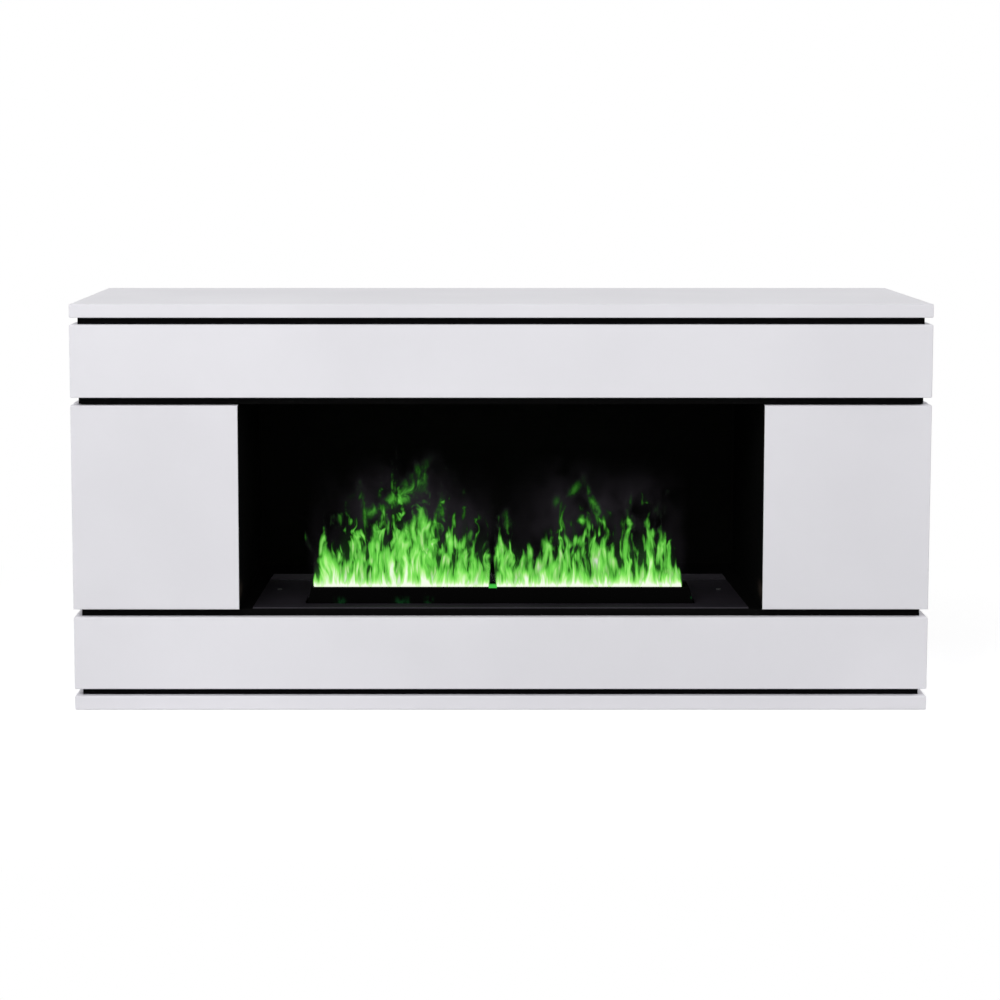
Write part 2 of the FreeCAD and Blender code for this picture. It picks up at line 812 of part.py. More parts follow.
# Water basin under the trough, with mist generators on its floor and a light bar on each long wall
def basin():
    long = trough_half
    wide = s.trough_wide / 2
    high = trough_foot - housing_floor
    tray = box("basin_tray", (2 * long, 2 * wide, high), (-long, trough_y - wide, housing_floor))
    wall = s.basin_wall
    size = (2 * (long - wall), 2 * (wide - wall), high)
    hollow = box("basin_hollow", size, (wall - long, trough_y - wide + wall, housing_floor + wall))
    keep("water_basin", cut("basin_cut", tray, hollow))
    mist = []
    pitch = 2 * (long - s.mist_end_gap) / (mist_count - 1)
    for step in range(mist_count):
        foot = (pitch * (step - (mist_count - 1) / 2), trough_y, housing_floor + wall)
        mist.append(cylinder(f"mist_generator_{step}", s.mist_radius, s.mist_high, foot))
    keep("mist_generators", group("mist_generator_set", mist))
    bars = []
    bar_z = trough_foot - s.light_drop - s.light_high
    for end, y in (("front", trough_y - wide + wall), ("rear", trough_y + wide - wall - s.light_wide)):
        size = (2 * slot_outer, s.light_wide, s.light_high)
        bars.append(box(f"light_bar_{end}", size, (-slot_outer, y, bar_z)))
    keep("light_bars", group("light_bar_set", bars))


basin()


# Axial fan: a square frame with spokes and a bearing boss, and a bladed rotor on a shaft
def fan_frame(near):
    middle = (fan_x, housing_mid_z)
    throat_start = (fan_x, near - s.overrun, housing_mid_z)
    square = centred_box("fan_square", (s.fan_side, s.fan_deep, s.fan_side), middle, near)
    throat = cylinder("fan_throat", fan_bore, s.fan_deep + 2 * s.overrun, throat_start, "+y")
    across = centred_box("fan_spoke_across", (s.fan_side, s.spoke_thick, s.spoke_wide), middle, near)
    upright = centred_box("fan_spoke_upright", (s.spoke_wide, s.spoke_thick, s.fan_side), middle, near)
    boss = cylinder("fan_boss", s.hub_radius, s.spoke_thick, (fan_x, near, housing_mid_z), "+y")
    seat_radius = s.fan_shaft_radius + s.fan_shaft_play
    seat = cylinder("fan_shaft_seat", seat_radius, s.spoke_thick + 2 * s.overrun, throat_start, "+y")
    spoked = fuse("fan_spoked", [cut("fan_ring", square, throat), across, upright, boss])
    keep("fan_frame", cut("fan_frame", spoked, seat))


def fan_rotor(near):
    body = new_body("fan_rotor", (fan_x, near + s.spoke_thick + s.hub_setback, housing_mid_z))
    hub = sketch_on(body, "XZ_Plane", "fan_hub_outline")
    circle(hub, (0, 0), s.hub_radius)
    pad(body, hub, "fan_hub", s.hub_long, backwards=True)
    shaft = sketch_on(body, "XZ_Plane", "fan_shaft_outline")
    circle(shaft, (0, 0), s.fan_shaft_radius)
    pad(body, shaft, "fan_shaft", s.spoke_thick + s.hub_setback)
    root = s.hub_radius * blade_root_share
    section = sketch_on(body, "YZ_Plane", "fan_blade_section", root)
    near_edge = (s.hub_long - s.blade_run) / 2
    far_edge = near_edge + s.blade_run
    half = s.blade_rise / 2
    thick = s.blade_thick
    outline(section, [(near_edge, -half), (near_edge + thick, -half), (far_edge, half - thick),
                      (far_edge, half), (far_edge - thick, half), (near_edge, thick - half)])
    blade = pad(body, section, "fan_blade", fan_bore - s.fan_tip_gap - root)
    blades = body.newObject("PartDesign::PolarPattern", "fan_blades")
    blades.Originals = [blade]
    spin = [feature for feature in body.Origin.OriginFeatures if feature.Role == "Y_Axis"][0]
    blades.Axis = (spin, [""])
    blades.Angle = 360
    blades.Occurrences = blade_count
    body.Tip = blades
    keep("fan_rotor", body)


fan_near = housing_far - s.sheet_gauge - s.fan_deep
fan_frame(fan_near)
fan_rotor(fan_near)


# Power inlet and rocker switch in the housing's rear wall
def power_inlet():
    rim = 2 * s.inlet_bezel
    size = (s.inlet_wide + rim, s.inlet_bezel_thick, s.inlet_high + rim)
    bezel = centred_box("inlet_bezel", size, inlet_middle, housing_far)
    size = (s.inlet_wide - 2 * s.inlet_play, s.inlet_deep, s.inlet_high - 2 * s.inlet_play)
    block = centred_box("inlet_block", size, inlet_middle, housing_far - s.inlet_deep)
    mouth_y = housing_far + s.inlet_bezel_thick - s.inlet_socket
    size = (s.inlet_wide - 2 * s.inlet_wall, s.inlet_socket + s.overrun, s.inlet_high - 2 * s.inlet_wall)
    mouth = centred_box("inlet_mouth", size, inlet_middle, mouth_y)
    members = [cut("inlet_shell", fuse("inlet_blank", [bezel, block]), mouth)]
    root = s.inlet_wall / 2
    for step in range(-1, 2):
        lift = s.prong_high / 2 * (1 - 2 * abs(step))
        middle = (inlet_middle[0] + s.prong_pitch * step, inlet_middle[1] + lift)
        size = (s.prong_wide, s.prong_long + root, s.prong_high)
        members.append(centred_box(f"inlet_prong_{step + 1}", size, middle, mouth_y - root))
    keep("power_inlet", fuse("power_inlet", members))


def rocker_switch():
    rim = 2 * s.switch_bezel
    size = (s.switch_wide + rim, s.switch_bezel_thick, s.switch_high + rim)
    bezel = centred_box("switch_bezel", size, switch_middle, housing_far)
    size = (s.switch_wide - 2 * s.inlet_play, s.switch_deep, s.switch_high - 2 * s.inlet_play)
    block = centred_box("switch_block", size, switch_middle, housing_far - s.switch_deep)
    well_wide = s.switch_wide - 2 * s.switch_wall
    well_high = s.switch_high - 2 * s.switch_wall
    well_y = housing_far + s.switch_bezel_thick - s.switch_deep
    size = (well_wide, s.switch_deep + s.overrun, well_high)
    well = centred_box("switch_well", size, switch_middle, well_y)
    bore_long = s.switch_wide - s.switch_wall
    bore_start = (switch_middle[0] - bore_long / 2, housing_far, switch_middle[1])
    bore = cylinder("switch_pivot_bore", s.rocker_pin_radius + s.pin_play, bore_long, bore_start, "+x")
    keep("switch_body", cut("switch_body", fuse("switch_blank", [bezel, block]), well, bore))
    rocker = doc.addObject("PartDesign::Body", "switch_rocker")
    tilt = Rotation(Vector(1, 0, 0), s.rocker_tilt.value)
    place(rocker, (switch_middle[0], housing_far, switch_middle[1]), tilt)
    tip = (well_high / 2 - s.rocker_play) * rocker_tip_share
    face = s.switch_bezel_thick
    profile = sketch_on(rocker, "YZ_Plane", "rocker_profile")
    outline(profile, [(-s.rocker_root, 0), (0, -tip), (face + s.rocker_rise, -tip), (face, 0),
                      (face + s.rocker_rise, tip), (0, tip)])
    pad(rocker, profile, "rocker_paddle", well_wide - 2 * s.rocker_play, midplane=True)
    pin = sketch_on(rocker, "YZ_Plane", "rocker_pin_outline")
    circle(pin, (0, 0), s.rocker_pin_radius)
    pad(rocker, pin, "rocker_pin", bore_long - 2 * s.rocker_play, midplane=True)
    keep("switch_rocker", rocker)


power_inlet()
rocker_switch()


# Power supply and control board on the housing floor, behind the basin
def electronics():
    behind = trough_y + s.trough_wide / 2
    room = housing_far - s.sheet_gauge - behind
    size = (s.supply_long, s.supply_wide, s.supply_high)
    low_x = housing_half - s.supply_end_gap - s.supply_long
    corner = (low_x, behind + (room - s.supply_wide) / 2, housing_floor)
    keep("power_supply", box("power_supply", size, corner))
    near = behind + (room - s.board_wide) / 2
    level = housing_floor + s.board_post
    board_x = low_x - s.board_gap - s.board_long / 2
    sheet_size = (s.board_long, s.board_wide, s.board_gauge)
    members = [box("board_sheet", sheet_size, (board_x - s.board_long / 2, near, level))]
    for x in (-1, 1):
        for y in (-1, 1):
            foot_x = board_x + (s.board_long / 2 - s.board_post) * x
            foot_y = near + s.board_wide / 2 + (s.board_wide / 2 - s.board_post) * y
            foot = (foot_x, foot_y, housing_floor)
            name = f"board_post_{x + 1}_{y + 1}"
            members.append(cylinder(name, s.board_post_radius, s.board_post + s.board_gauge, foot))
    keep("control_board", fuse("control_board", members))


electronics()

# Check every object and every piece, then write one file for each piece
doc.recompute()
failed = [obj.Name for obj in doc.Objects if "Invalid" in obj.State or "Error" in obj.State]
if failed:
    raise RuntimeError("not built: " + ", ".join(failed))
for piece in pieces:
    if piece.Shape.isNull() or not piece.Shape.isValid() or not piece.Shape.Solids:
        raise RuntimeError("bad shape: " + piece.Label)
os.makedirs("parts", exist_ok=True)
for piece in pieces:
    piece.Shape.exportStep(f"parts/{piece.Label}.step")
print(len(pieces), "pieces,", sum(len(piece.Shape.Solids) for piece in pieces), "solids")
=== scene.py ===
import math
import random

import bpy
import numpy as np
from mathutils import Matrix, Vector


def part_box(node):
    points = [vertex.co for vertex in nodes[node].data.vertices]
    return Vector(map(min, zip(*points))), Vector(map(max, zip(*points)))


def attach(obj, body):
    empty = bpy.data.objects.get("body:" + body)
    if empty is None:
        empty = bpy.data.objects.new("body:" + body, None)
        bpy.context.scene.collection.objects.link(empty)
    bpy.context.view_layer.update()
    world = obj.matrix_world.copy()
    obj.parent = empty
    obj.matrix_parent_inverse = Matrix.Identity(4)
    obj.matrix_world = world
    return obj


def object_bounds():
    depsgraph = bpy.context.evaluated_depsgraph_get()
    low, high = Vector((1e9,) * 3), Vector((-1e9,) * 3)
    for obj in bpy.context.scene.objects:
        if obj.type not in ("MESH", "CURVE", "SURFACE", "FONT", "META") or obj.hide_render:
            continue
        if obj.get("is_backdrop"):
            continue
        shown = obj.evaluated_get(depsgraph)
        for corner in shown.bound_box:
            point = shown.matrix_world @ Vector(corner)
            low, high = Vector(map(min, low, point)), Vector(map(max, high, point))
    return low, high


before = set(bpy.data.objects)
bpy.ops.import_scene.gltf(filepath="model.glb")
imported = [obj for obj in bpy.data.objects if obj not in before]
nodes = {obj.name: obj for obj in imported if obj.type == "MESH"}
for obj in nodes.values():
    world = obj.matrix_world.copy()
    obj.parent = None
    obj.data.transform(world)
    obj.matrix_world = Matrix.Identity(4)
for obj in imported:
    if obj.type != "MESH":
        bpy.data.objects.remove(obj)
cadLow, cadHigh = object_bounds()  # the CAD box
scene = bpy.context.scene
print("frame loaded,", len(nodes), "nodes")


def tint(red, green, blue):  # screen colour, 0 to 255, as linear RGBA
    parts = [value / 255 for value in (red, green, blue)]
    linear = [p / 12.92 if p <= 0.04045 else ((p + 0.055) / 1.055) ** 2.4 for p in parts]
    return (*linear, 1.0)


# wraps a socket, so that shader and geometry sums read as plain expressions
class Wire:
    def __init__(self, tree, socket=None):
        self.tree = tree
        self.socket = socket

    def node(self, kind, settings, sockets, out=0):
        made = self.tree.nodes.new(kind)
        for key, value in settings.items():
            if key == "stops":
                while len(made.color_ramp.elements) < len(value):
                    made.color_ramp.elements.new(1.0)
                for element, (place, colour) in zip(made.color_ramp.elements, value):
                    element.position = place
                    element.color = colour
            else:
                setattr(made, key, value)
        for key, value in sockets.items():
            if isinstance(value, Wire):
                self.tree.links.new(made.inputs[key], value.socket)
            else:
                made.inputs[key].default_value = value
        return Wire(self.tree, made.outputs[out]) if len(made.outputs) else None

    def maths(self, operation, first, second=0.0):
        return self.node("ShaderNodeMath", {"operation": operation}, {0: first, 1: second})

    def __add__(self, other):
        return self.maths("ADD", self, other)

    def __sub__(self, other):
        return self.maths("SUBTRACT", self, other)

    def __rsub__(self, other):
        return self.maths("SUBTRACT", other, self)

    def __mul__(self, other):
        return self.maths("MULTIPLY", self, other)

    def __truediv__(self, other):
        return self.maths("DIVIDE", self, other)

    def __abs__(self):
        return self.maths("ABSOLUTE", self)

    def __lt__(self, other):
        return self.maths("LESS_THAN", self, other)

    def __gt__(self, other):
        return self.maths("GREATER_THAN", self, other)

    __radd__ = __add__
    __rmul__ = __mul__


def startFinish(name):
    material = bpy.data.materials.new(name)
    material.use_nodes = True
    material.node_tree.nodes.clear()
    paint = Wire(material.node_tree)
    return material, paint, paint.node("ShaderNodeTexCoord", {}, {}, "Object")


def endFinish(paint, sockets):
    shader = paint.node("ShaderNodeBsdfPrincipled", {}, sockets)
    paint.node("ShaderNodeOutputMaterial", {}, {"Surface": shader})


def axes(paint, point):
    split = paint.node("ShaderNodeSeparateXYZ", {}, {"Vector": point})
    outputs = split.socket.node.outputs
    return [Wire(paint.tree, outputs[i]) for i in range(3)]


def cloud(paint, point, scale, detail=3.0, out=0):  # noise with its own scale on each axis
    size = scale if isinstance(scale, tuple) else (scale, scale, scale)
    moved = paint.node("ShaderNodeMapping", {}, {"Vector": point, "Scale": size})
    return paint.node("ShaderNodeTexNoise", {}, {"Vector": moved, "Scale": 1.0, "Detail": detail}, out)


def blendColour(paint, share, first, second):
    return paint.node("ShaderNodeMix", {"data_type": "RGBA"}, {0: share, 6: first, 7: second}, 2)


def easeIn(paint, value, low, high):
    sockets = {"Value": value, "From Min": low, "From Max": high}
    return paint.node("ShaderNodeMapRange", {"interpolation_type": "SMOOTHSTEP"}, sockets)


def relief(paint, height, depth):
    return paint.node("ShaderNodeBump", {}, {"Height": height, "Strength": 1.0, "Distance": depth})


# white satin lacquer on the boards, with a faint orange peel
lacquer = {
    "white": tint(233, 232, 237),
    "shade": tint(229, 228, 233),
    "doorWhite": tint(229, 228, 233),
    "doorShade": tint(225, 224, 229),
    "lining": tint(3, 3, 3),
    "liningWorn": tint(8, 8, 8),
    "glint": tint(58, 50, 45),  # a soft warm reflection low on the lining, near the front
    "liningEdge": 0.4284,  # the doors' edges towards the firebox are dark, out to this place
    "partitionFace": 0.4365,  # partitions are dark on the firebox side only
    "roughness": 0.5,
    "shine": 0.3,
    "coat": 0.04,
    "coatRoughness": 0.4,
    "liningRoughness": 0.7,
    "liningShine": 0.04,
    "glintPlace": (-0.172, 0.196),  # depth and height
    "glintReach": (0.05, 0.02),
    "glintShare": 0.6,
    "peelScale": 380.0,
    "peelDepth": 0.00004,
}


def lacquerFinish(name, darkWithin=0.0):
    material, paint, point = startFinish(name)
    broad = cloud(paint, point, 3.0, 2.0)
    tones = ("doorWhite", "doorShade") if darkWithin else ("white", "shade")
    colour = blendColour(paint, easeIn(paint, broad, 0.35, 0.65), *[lacquer[tone] for tone in tones])
    rough = lacquer["roughness"] + (cloud(paint, point, (9.0, 9.0, 30.0)) - 0.5) * 0.12
    peel = relief(paint, cloud(paint, point, lacquer["peelScale"], 1.0), lacquer["peelDepth"])
    sockets = {"Base Color": colour, "Roughness": rough, "Normal": peel,
               "Specular IOR Level": lacquer["shine"], "Coat Weight": lacquer["coat"],
               "Coat Roughness": lacquer["coatRoughness"]}
    shader = paint.node("ShaderNodeBsdfPrincipled", {}, sockets)
    if darkWithin:
        x, y, z = axes(paint, point)
        grain = cloud(paint, point, (60.0, 60.0, 400.0))
        spots = zip((y, z), lacquer["glintPlace"], lacquer["glintReach"])
        nearDeep, nearHigh = [easeIn(paint, abs(axis - middle), reach, 0.0) for axis, middle, reach in spots]
        dark = blendColour(paint, grain, lacquer["lining"], lacquer["liningWorn"])
        dark = blendColour(paint, nearDeep * nearHigh * lacquer["glintShare"], dark, lacquer["glint"])
        sockets = {"Base Color": dark, "Roughness": lacquer["liningRoughness"] + (grain - 0.5) * 0.2,
                   "Specular IOR Level": lacquer["liningShine"]}
        lining = paint.node("ShaderNodeBsdfPrincipled", {}, sockets)
        shader = paint.node("ShaderNodeMixShader", {}, {0: abs(x) < darkWithin, 1: shader, 2: lining})
    paint.node("ShaderNodeOutputMaterial", {}, {"Surface": shader})
    return material


# black faced board of the spacers and the firebox lining, with a fine pressed grain
blackBoard = {"deep": tint(2, 2, 2), "worn": tint(6, 6, 6), "roughness": 0.75, "shine": 0.05,
              "grainDepth": 0.00005}


def blackBoardFinish():
    material, paint, point = startFinish("blackFacedBoard")
    grain = cloud(paint, point, (14.0, 300.0, 300.0), 4.0)
    colour = blendColour(paint, easeIn(paint, grain, 0.4, 0.75), blackBoard["deep"], blackBoard["worn"])
    rough = blackBoard["roughness"] + (grain - 0.5) * 0.2
    endFinish(paint, {"Base Color": colour, "Roughness": rough, "Specular IOR Level": blackBoard["shine"],
                      "Normal": relief(paint, grain, blackBoard["grainDepth"])})
    return material


# dark satin sheet steel of the hearth plate, rolled along its length
hearthSteel = {"deep": tint(34, 31, 37), "pale": tint(50, 46, 54), "roughness": 0.5, "metallic": 0.55,
               "rollDepth": 0.00002}


def hearthSteelFinish():
    material, paint, point = startFinish("darkSatinSteel")
    rolled = cloud(paint, point, (6.0, 420.0, 420.0), 4.0)
    patches = cloud(paint, point, 9.0, 3.0)
    colour = blendColour(paint, rolled * 0.6 + patches * 0.4, hearthSteel["deep"], hearthSteel["pale"])
    rough = hearthSteel["roughness"] + (patches - 0.5) * 0.25 + (rolled - 0.5) * 0.1
    endFinish(paint, {"Base Color": colour, "Roughness": rough, "Metallic": hearthSteel["metallic"],
                      "Normal": relief(paint, rolled, hearthSteel["rollDepth"])})
    return material


# matt powder coat; the black one of the trough gets painted green glow for the light that leaks out along its
# foot, and painted glow at its two ends and on the bridge between the slots
powderCoat = {
    "deep": tint(1, 1, 1),
    "pale": tint(5, 5, 5),
    "shine": 0.02,
    "innerDeep": tint(44, 44, 46),  # dark grey on the housing, power supply and hearth screws
    "innerPale": tint(60, 60, 62),
    "innerShine": 0.4,
    "roughness": 0.75,
    "depth": 0.00006,
}
footGlow = {
    "places": ((-0.266, 0.013), (-0.163, 0.02), (-0.118, 0.011)),  # across, half width
    "top": 0.183,
    "foot": 0.168,
    "front": -0.145,
    "colour": tint(14, 62, 28),
    "ends": ((-0.3185, 0.179), (0.3165, 0.178)),  # painted glow specks at the trough's two ends: across, up
    "endReach": (0.0022, 0.0045),
    # painted glow on the top of the bridge between the two slots
    "bridge": -0.0125,
    "bridgeHalf": 0.0068,
    "bridgeTop": 0.1938,
    "bridgeGlowFade": (-0.112, -0.128),
    "bridgeGlowColour": tint(70, 195, 70),
}


def powderCoatFinish(name, leaking=False):
    material, paint, point = startFinish(name)
    grain = cloud(paint, point, 900.0, 2.0)
    broad = cloud(paint, point, 12.0, 2.0)
    tones = ("deep", "pale", "shine") if leaking else ("innerDeep", "innerPale", "innerShine")
    deep, pale, shine = [powderCoat[tone] for tone in tones]
    colour = blendColour(paint, grain * 0.6 + broad * 0.4, deep, pale)
    sockets = {"Base Color": colour, "Roughness": powderCoat["roughness"] + (broad - 0.5) * 0.15,
               "Specular IOR Level": shine, "Normal": relief(paint, grain, powderCoat["depth"])}
    if leaking:
        x, y, z = axes(paint, point)
        # painted glow: green emission on the powder coat low along the trough's front, broken up, where light
        # leaks out
        low = easeIn(paint, z, footGlow["top"], footGlow["foot"]) * (y < footGlow["front"])
        glow = 0.0
        for middle, half in footGlow["places"]:
            glow = glow + easeIn(paint, abs(x - middle), half, 0.0)
        broken = easeIn(paint, cloud(paint, point, (160.0, 20.0, 90.0)), 0.35, 0.7)
        leak = glow * low * broken
        # painted glow specks at the two ends of the trough
        wide, tall = footGlow["endReach"]
        for endAcross, endUp in footGlow["ends"]:
            reach = abs(x - endAcross) / wide + abs(z - endUp) / tall
            leak = leak + easeIn(paint, reach, 1.0, 0.2) * 0.7
        # painted glow: the top of the bridge between the two slots shines green and fades towards the back,
        # as if lit by the mist
        bridge = (abs(x - footGlow["bridge"]) < footGlow["bridgeHalf"]) * (z > footGlow["bridgeTop"])
        bridge = bridge * easeIn(paint, y, *footGlow["bridgeGlowFade"])
        glow = blendColour(paint, leak, (0, 0, 0, 1), footGlow["colour"])
        sockets["Emission Color"] = blendColour(paint, bridge, glow, footGlow["bridgeGlowColour"])
        sockets["Emission Strength"] = 1.0
    endFinish(paint, sockets)
    return material


# nickel plated steel of the hinges, pins, strikes and screws
nickel = {"bright": (0.63, 0.62, 0.6, 1.0), "dull": (0.5, 0.49, 0.48, 1.0), "roughness": 0.3,
          "drawnDepth": 0.00001}


def nickelFinish():
    material, paint, point = startFinish("nickelSteel")
    drawn = cloud(paint, point, (500.0, 40.0, 500.0), 3.0)
    smudge = cloud(paint, point, 60.0, 3.0)
    colour = blendColour(paint, smudge, nickel["bright"], nickel["dull"])
    rough = nickel["roughness"] + (smudge - 0.5) * 0.2 + (drawn - 0.5) * 0.1
    endFinish(paint, {"Base Color": colour, "Metallic": 1.0, "Roughness": rough,
                      "Normal": relief(paint, drawn, nickel["drawnDepth"])})
    return material


# moulded plastics of the latches, fan, switch and basin
def plasticFinish(name, deep, pale, roughness, sparkDepth):
    material, paint, point = startFinish(name)
    spark = cloud(paint, point, 1500.0, 2.0)
    flow = cloud(paint, point, 25.0, 3.0)
    colour = blendColour(paint, flow, deep, pale)
    endFinish(paint, {"Base Color": colour, "Roughness": roughness + (flow - 0.5) * 0.15,
                      "Normal": relief(paint, spark, sparkDepth)})
    return material


# the inlet's prongs are bright metal inside its black shell
inlet = {
    "prongsMiddle": (0.060, 0.1056),  # across, up
    "prongsHalf": (0.0086, 0.0052),
    "prongsFrom": 0.0098,
    "metal": (0.7, 0.68, 0.62, 1.0),
    "shell": tint(20, 20, 21),
    "shellPale": tint(31, 31, 32),
    "roughness": 0.42,
    "sparkDepth": 0.00002,
}


def inletFinish():
    material, paint, point = startFinish("inletPlastic")
    x, y, z = axes(paint, point)
    metal = y > inlet["prongsFrom"]
    for axis, middle, half in zip((x, z), inlet["prongsMiddle"], inlet["prongsHalf"]):
        metal = metal * (abs(axis - middle) < half)
    flow = cloud(paint, point, 40.0, 3.0)
    black = blendColour(paint, flow, inlet["shell"], inlet["shellPale"])
    endFinish(paint, {"Base Color": blendColour(paint, metal, black, inlet["metal"]), "Metallic": metal,
                      "Roughness": inlet["roughness"] + (flow - 0.5) * 0.15 - metal * 0.14,
                      "Normal": relief(paint, cloud(paint, point, 1500.0, 2.0), inlet["sparkDepth"])})
    return material


# unpainted boards inside
rawBoard = {"deep": tint(172, 142, 104), "pale": tint(214, 186, 146), "chipScale": 420.0, "chipDepth": 0.0002,
            "roughness": 0.85}


def rawBoardFinish():
    material, paint, point = startFinish("rawParticleBoard")
    sockets = {"Vector": point, "Scale": rawBoard["chipScale"]}
    chips = paint.node("ShaderNodeTexVoronoi", {}, sockets, "Color")
    chip = axes(paint, chips)[0]
    colour = blendColour(paint, chip, rawBoard["deep"], rawBoard["pale"])
    endFinish(paint, {"Base Color": colour, "Roughness": rawBoard["roughness"],
                      "Normal": relief(paint, chip, rawBoard["chipDepth"])})
    return material


# white faced hardboard at the back, with bare brown fibre on its cut edges
hardboard = {
    "white": tint(228, 227, 226),
    "shade": tint(216, 215, 213),
    "fibre": tint(128, 97, 66),
    "fibrePale": tint(158, 124, 88),
    "fibreFrom": 0.1863,  # depth places between the two faces
    "fibreTo": 0.1897,
    "roughness": 0.6,
    "feltDepth": 0.00004,
}


def hardboardFinish():
    material, paint, point = startFinish("whiteHardboard")
    felt = cloud(paint, point, 700.0, 3.0)
    broad = cloud(paint, point, 4.0, 3.0)
    white = blendColour(paint, broad * 0.7 + felt * 0.3, hardboard["white"], hardboard["shade"])
    y = axes(paint, point)[1]
    cutEdge = (y < hardboard["fibreTo"]) * (y > hardboard["fibreFrom"])
    fibre = blendColour(paint, felt, hardboard["fibre"], hardboard["fibrePale"])
    colour = blendColour(paint, cutEdge, white, fibre)
    endFinish(paint, {"Base Color": colour, "Roughness": hardboard["roughness"] + (felt - 0.5) * 0.2,
                      "Normal": relief(paint, felt, hardboard["feltDepth"])})
    return material


# the control board's green mask over its copper tracks
circuit = {"mask": tint(18, 74, 40), "track": tint(62, 126, 66), "trackScale": 220.0, "trackWide": 0.08,
           "trackDepth": 0.00004, "roughness": 0.4}


def circuitFinish():
    material, paint, point = startFinish("greenCircuitBoard")
    settings = {"distance": "MANHATTAN", "feature": "DISTANCE_TO_EDGE"}
    sockets = {"Vector": point, "Scale": circuit["trackScale"]}
    track = paint.node("ShaderNodeTexVoronoi", settings, sockets) < circuit["trackWide"]
    colour = blendColour(paint, track, circuit["mask"], circuit["track"])
    endFinish(paint, {"Base Color": colour, "Roughness": circuit["roughness"] - track * 0.1,
                      "Normal": relief(paint, track, circuit["trackDepth"])})
    return material


# frosted diffusers of the lamps beside the water
diffuser = {"skin": tint(205, 235, 195), "deep": tint(120, 235, 95), "pale": tint(225, 255, 205),
            "strength": 0.8, "roughness": 0.5, "beadDepth": 0.0002}


def diffuserFinish():
    material, paint, point = startFinish("greenLampDiffuser")
    beads = cloud(paint, point, (70.0, 300.0, 300.0), 2.0)
    colour = blendColour(paint, easeIn(paint, beads, 0.3, 0.7), diffuser["deep"], diffuser["pale"])
    endFinish(paint, {"Base Color": diffuser["skin"], "Roughness": diffuser["roughness"],
                      "Emission Color": colour, "Emission Strength": diffuser["strength"],
                      "Normal": relief(paint, beads, diffuser["beadDepth"])})
    return material


finishes = {
    "lacquer": lacquerFinish("whiteLacquer"),
    "door": lacquerFinish("whiteLacquerDoor", lacquer["liningEdge"]),
    "partition": lacquerFinish("partitionFacing", lacquer["partitionFace"]),
    "black": blackBoardFinish(),
    "hearth": hearthSteelFinish(),
    "trough": powderCoatFinish("troughPowderCoat", True),
    "powder": powderCoatFinish("greyPowderCoat"),
    "nickel": nickelFinish(),
    "grey": plasticFinish("greyMouldedPlastic", tint(150, 151, 153), tint(168, 169, 170), 0.5, 0.00003),
    "plastic": plasticFinish("blackMouldedPlastic", tint(22, 22, 23), tint(34, 34, 35), 0.5, 0.00003),
    "basin": plasticFinish("wetBasinPlastic", tint(18, 20, 20), tint(30, 33, 32), 0.18, 0.00001),
    "inlet": inletFinish(),
    "raw": rawBoardFinish(),
    "hardboard": hardboardFinish(),
    "circuit": circuitFinish(),
    "diffuser": diffuserFinish(),
}
sides = ("left", "right")
wornBy = {
    "lacquer": ["base_board", "top_board", "shelf_left", "shelf_right", "shelf_cleats"],
    "black": ["base_spacer", "ceiling_spacer", "top_spacer", "floor_spacer", "firebox_back"],
    "door": [f"door_{side}" for side in sides],
    "partition": [f"partition_{side}" for side in sides],
    "hearth": ["hearth_plate"],
    "trough": ["trough_cover"],
    "powder": ["cassette_housing", "power_supply", "hearth_screws"],
    "nickel": ["hinge_plates", "hinge_arms"],
    "grey": ["latch_bodies"],
    "plastic": ["mist_generators", "fan_frame", "fan_rotor", "switch_body", "switch_rocker"],
    "basin": ["water_basin"],
    "inlet": ["power_inlet"],
    "raw": ["corner_blocks"],
    "hardboard": ["back_panel"],
    "circuit": ["control_board"],
    "diffuser": ["light_bars"],
}
for side in sides:
    wornBy["lacquer"] += [f"middle_side_{side}", f"lower_side_{side}", f"upper_side_{side}"]
    wornBy["nickel"] += [f"hinge_cups_{side}", f"hinge_pins_{side}", f"latch_strike_{side}"]
    wornBy["grey"].append(f"latch_plunger_{side}")
    wornBy["raw"] += [f"lower_divider_{side}", f"upper_divider_{side}"]
for tier in ("lower", "upper"):
    wornBy["lacquer"].append(f"{tier}_fascia")
    wornBy["raw"].append(f"{tier}_back_rail")
for finish, wearers in wornBy.items():
    for wearer in wearers:
        nodes[wearer].data.materials.clear()
        nodes[wearer].data.materials.append(finishes[finish])
print("finishes on", sum(len(wearers) for wearers in wornBy.values()), "nodes")


# soft edges: welds a node's loose triangles, then rounds its corners
softEdge = {"board": 0.0007, "sheet": 0.0004, "steps": 3, "angle": math.radians(30), "weld": 0.00001}


def roundEdges(name, width):
    weld = nodes[name].modifiers.new("weld", "WELD")
    weld.merge_threshold = softEdge["weld"]
    bevel = nodes[name].modifiers.new("roundEdges", "BEVEL")
    bevel.width = width
    bevel.segments = softEdge["steps"]
    bevel.limit_method = "ANGLE"
    bevel.angle_limit = softEdge["angle"]
    bevel.use_clamp_overlap = True


for wearer in wornBy["lacquer"] + wornBy["door"]:
    roundEdges(wearer, softEdge["board"])
for wearer in ("hearth_plate", "trough_cover"):
    roundEdges(wearer, softEdge["sheet"])


# a geometry tree with named inputs, and a way to turn what it grows into a plain mesh
def startTree(name, inputs):
    tree = bpy.data.node_groups.new(name, "GeometryNodeTree")
    tree.interface.new_socket("Geometry", in_out="INPUT", socket_type="NodeSocketGeometry")
    tree.interface.new_socket("Geometry", in_out="OUTPUT", socket_type="NodeSocketGeometry")
    for label, kind in inputs.items():
        tree.interface.new_socket(label, in_out="INPUT", socket_type="NodeSocket" + kind)
    source = tree.nodes.new("NodeGroupInput")
    return tree, Wire(tree), {socket.name: Wire(tree, socket) for socket in source.outputs if socket.name}


def endTree(build, geometry, material):
    painted = build.node("GeometryNodeSetMaterial", {}, {"Geometry": geometry, "Material": material})
    build.node("NodeGroupOutput", {}, {"Geometry": painted})


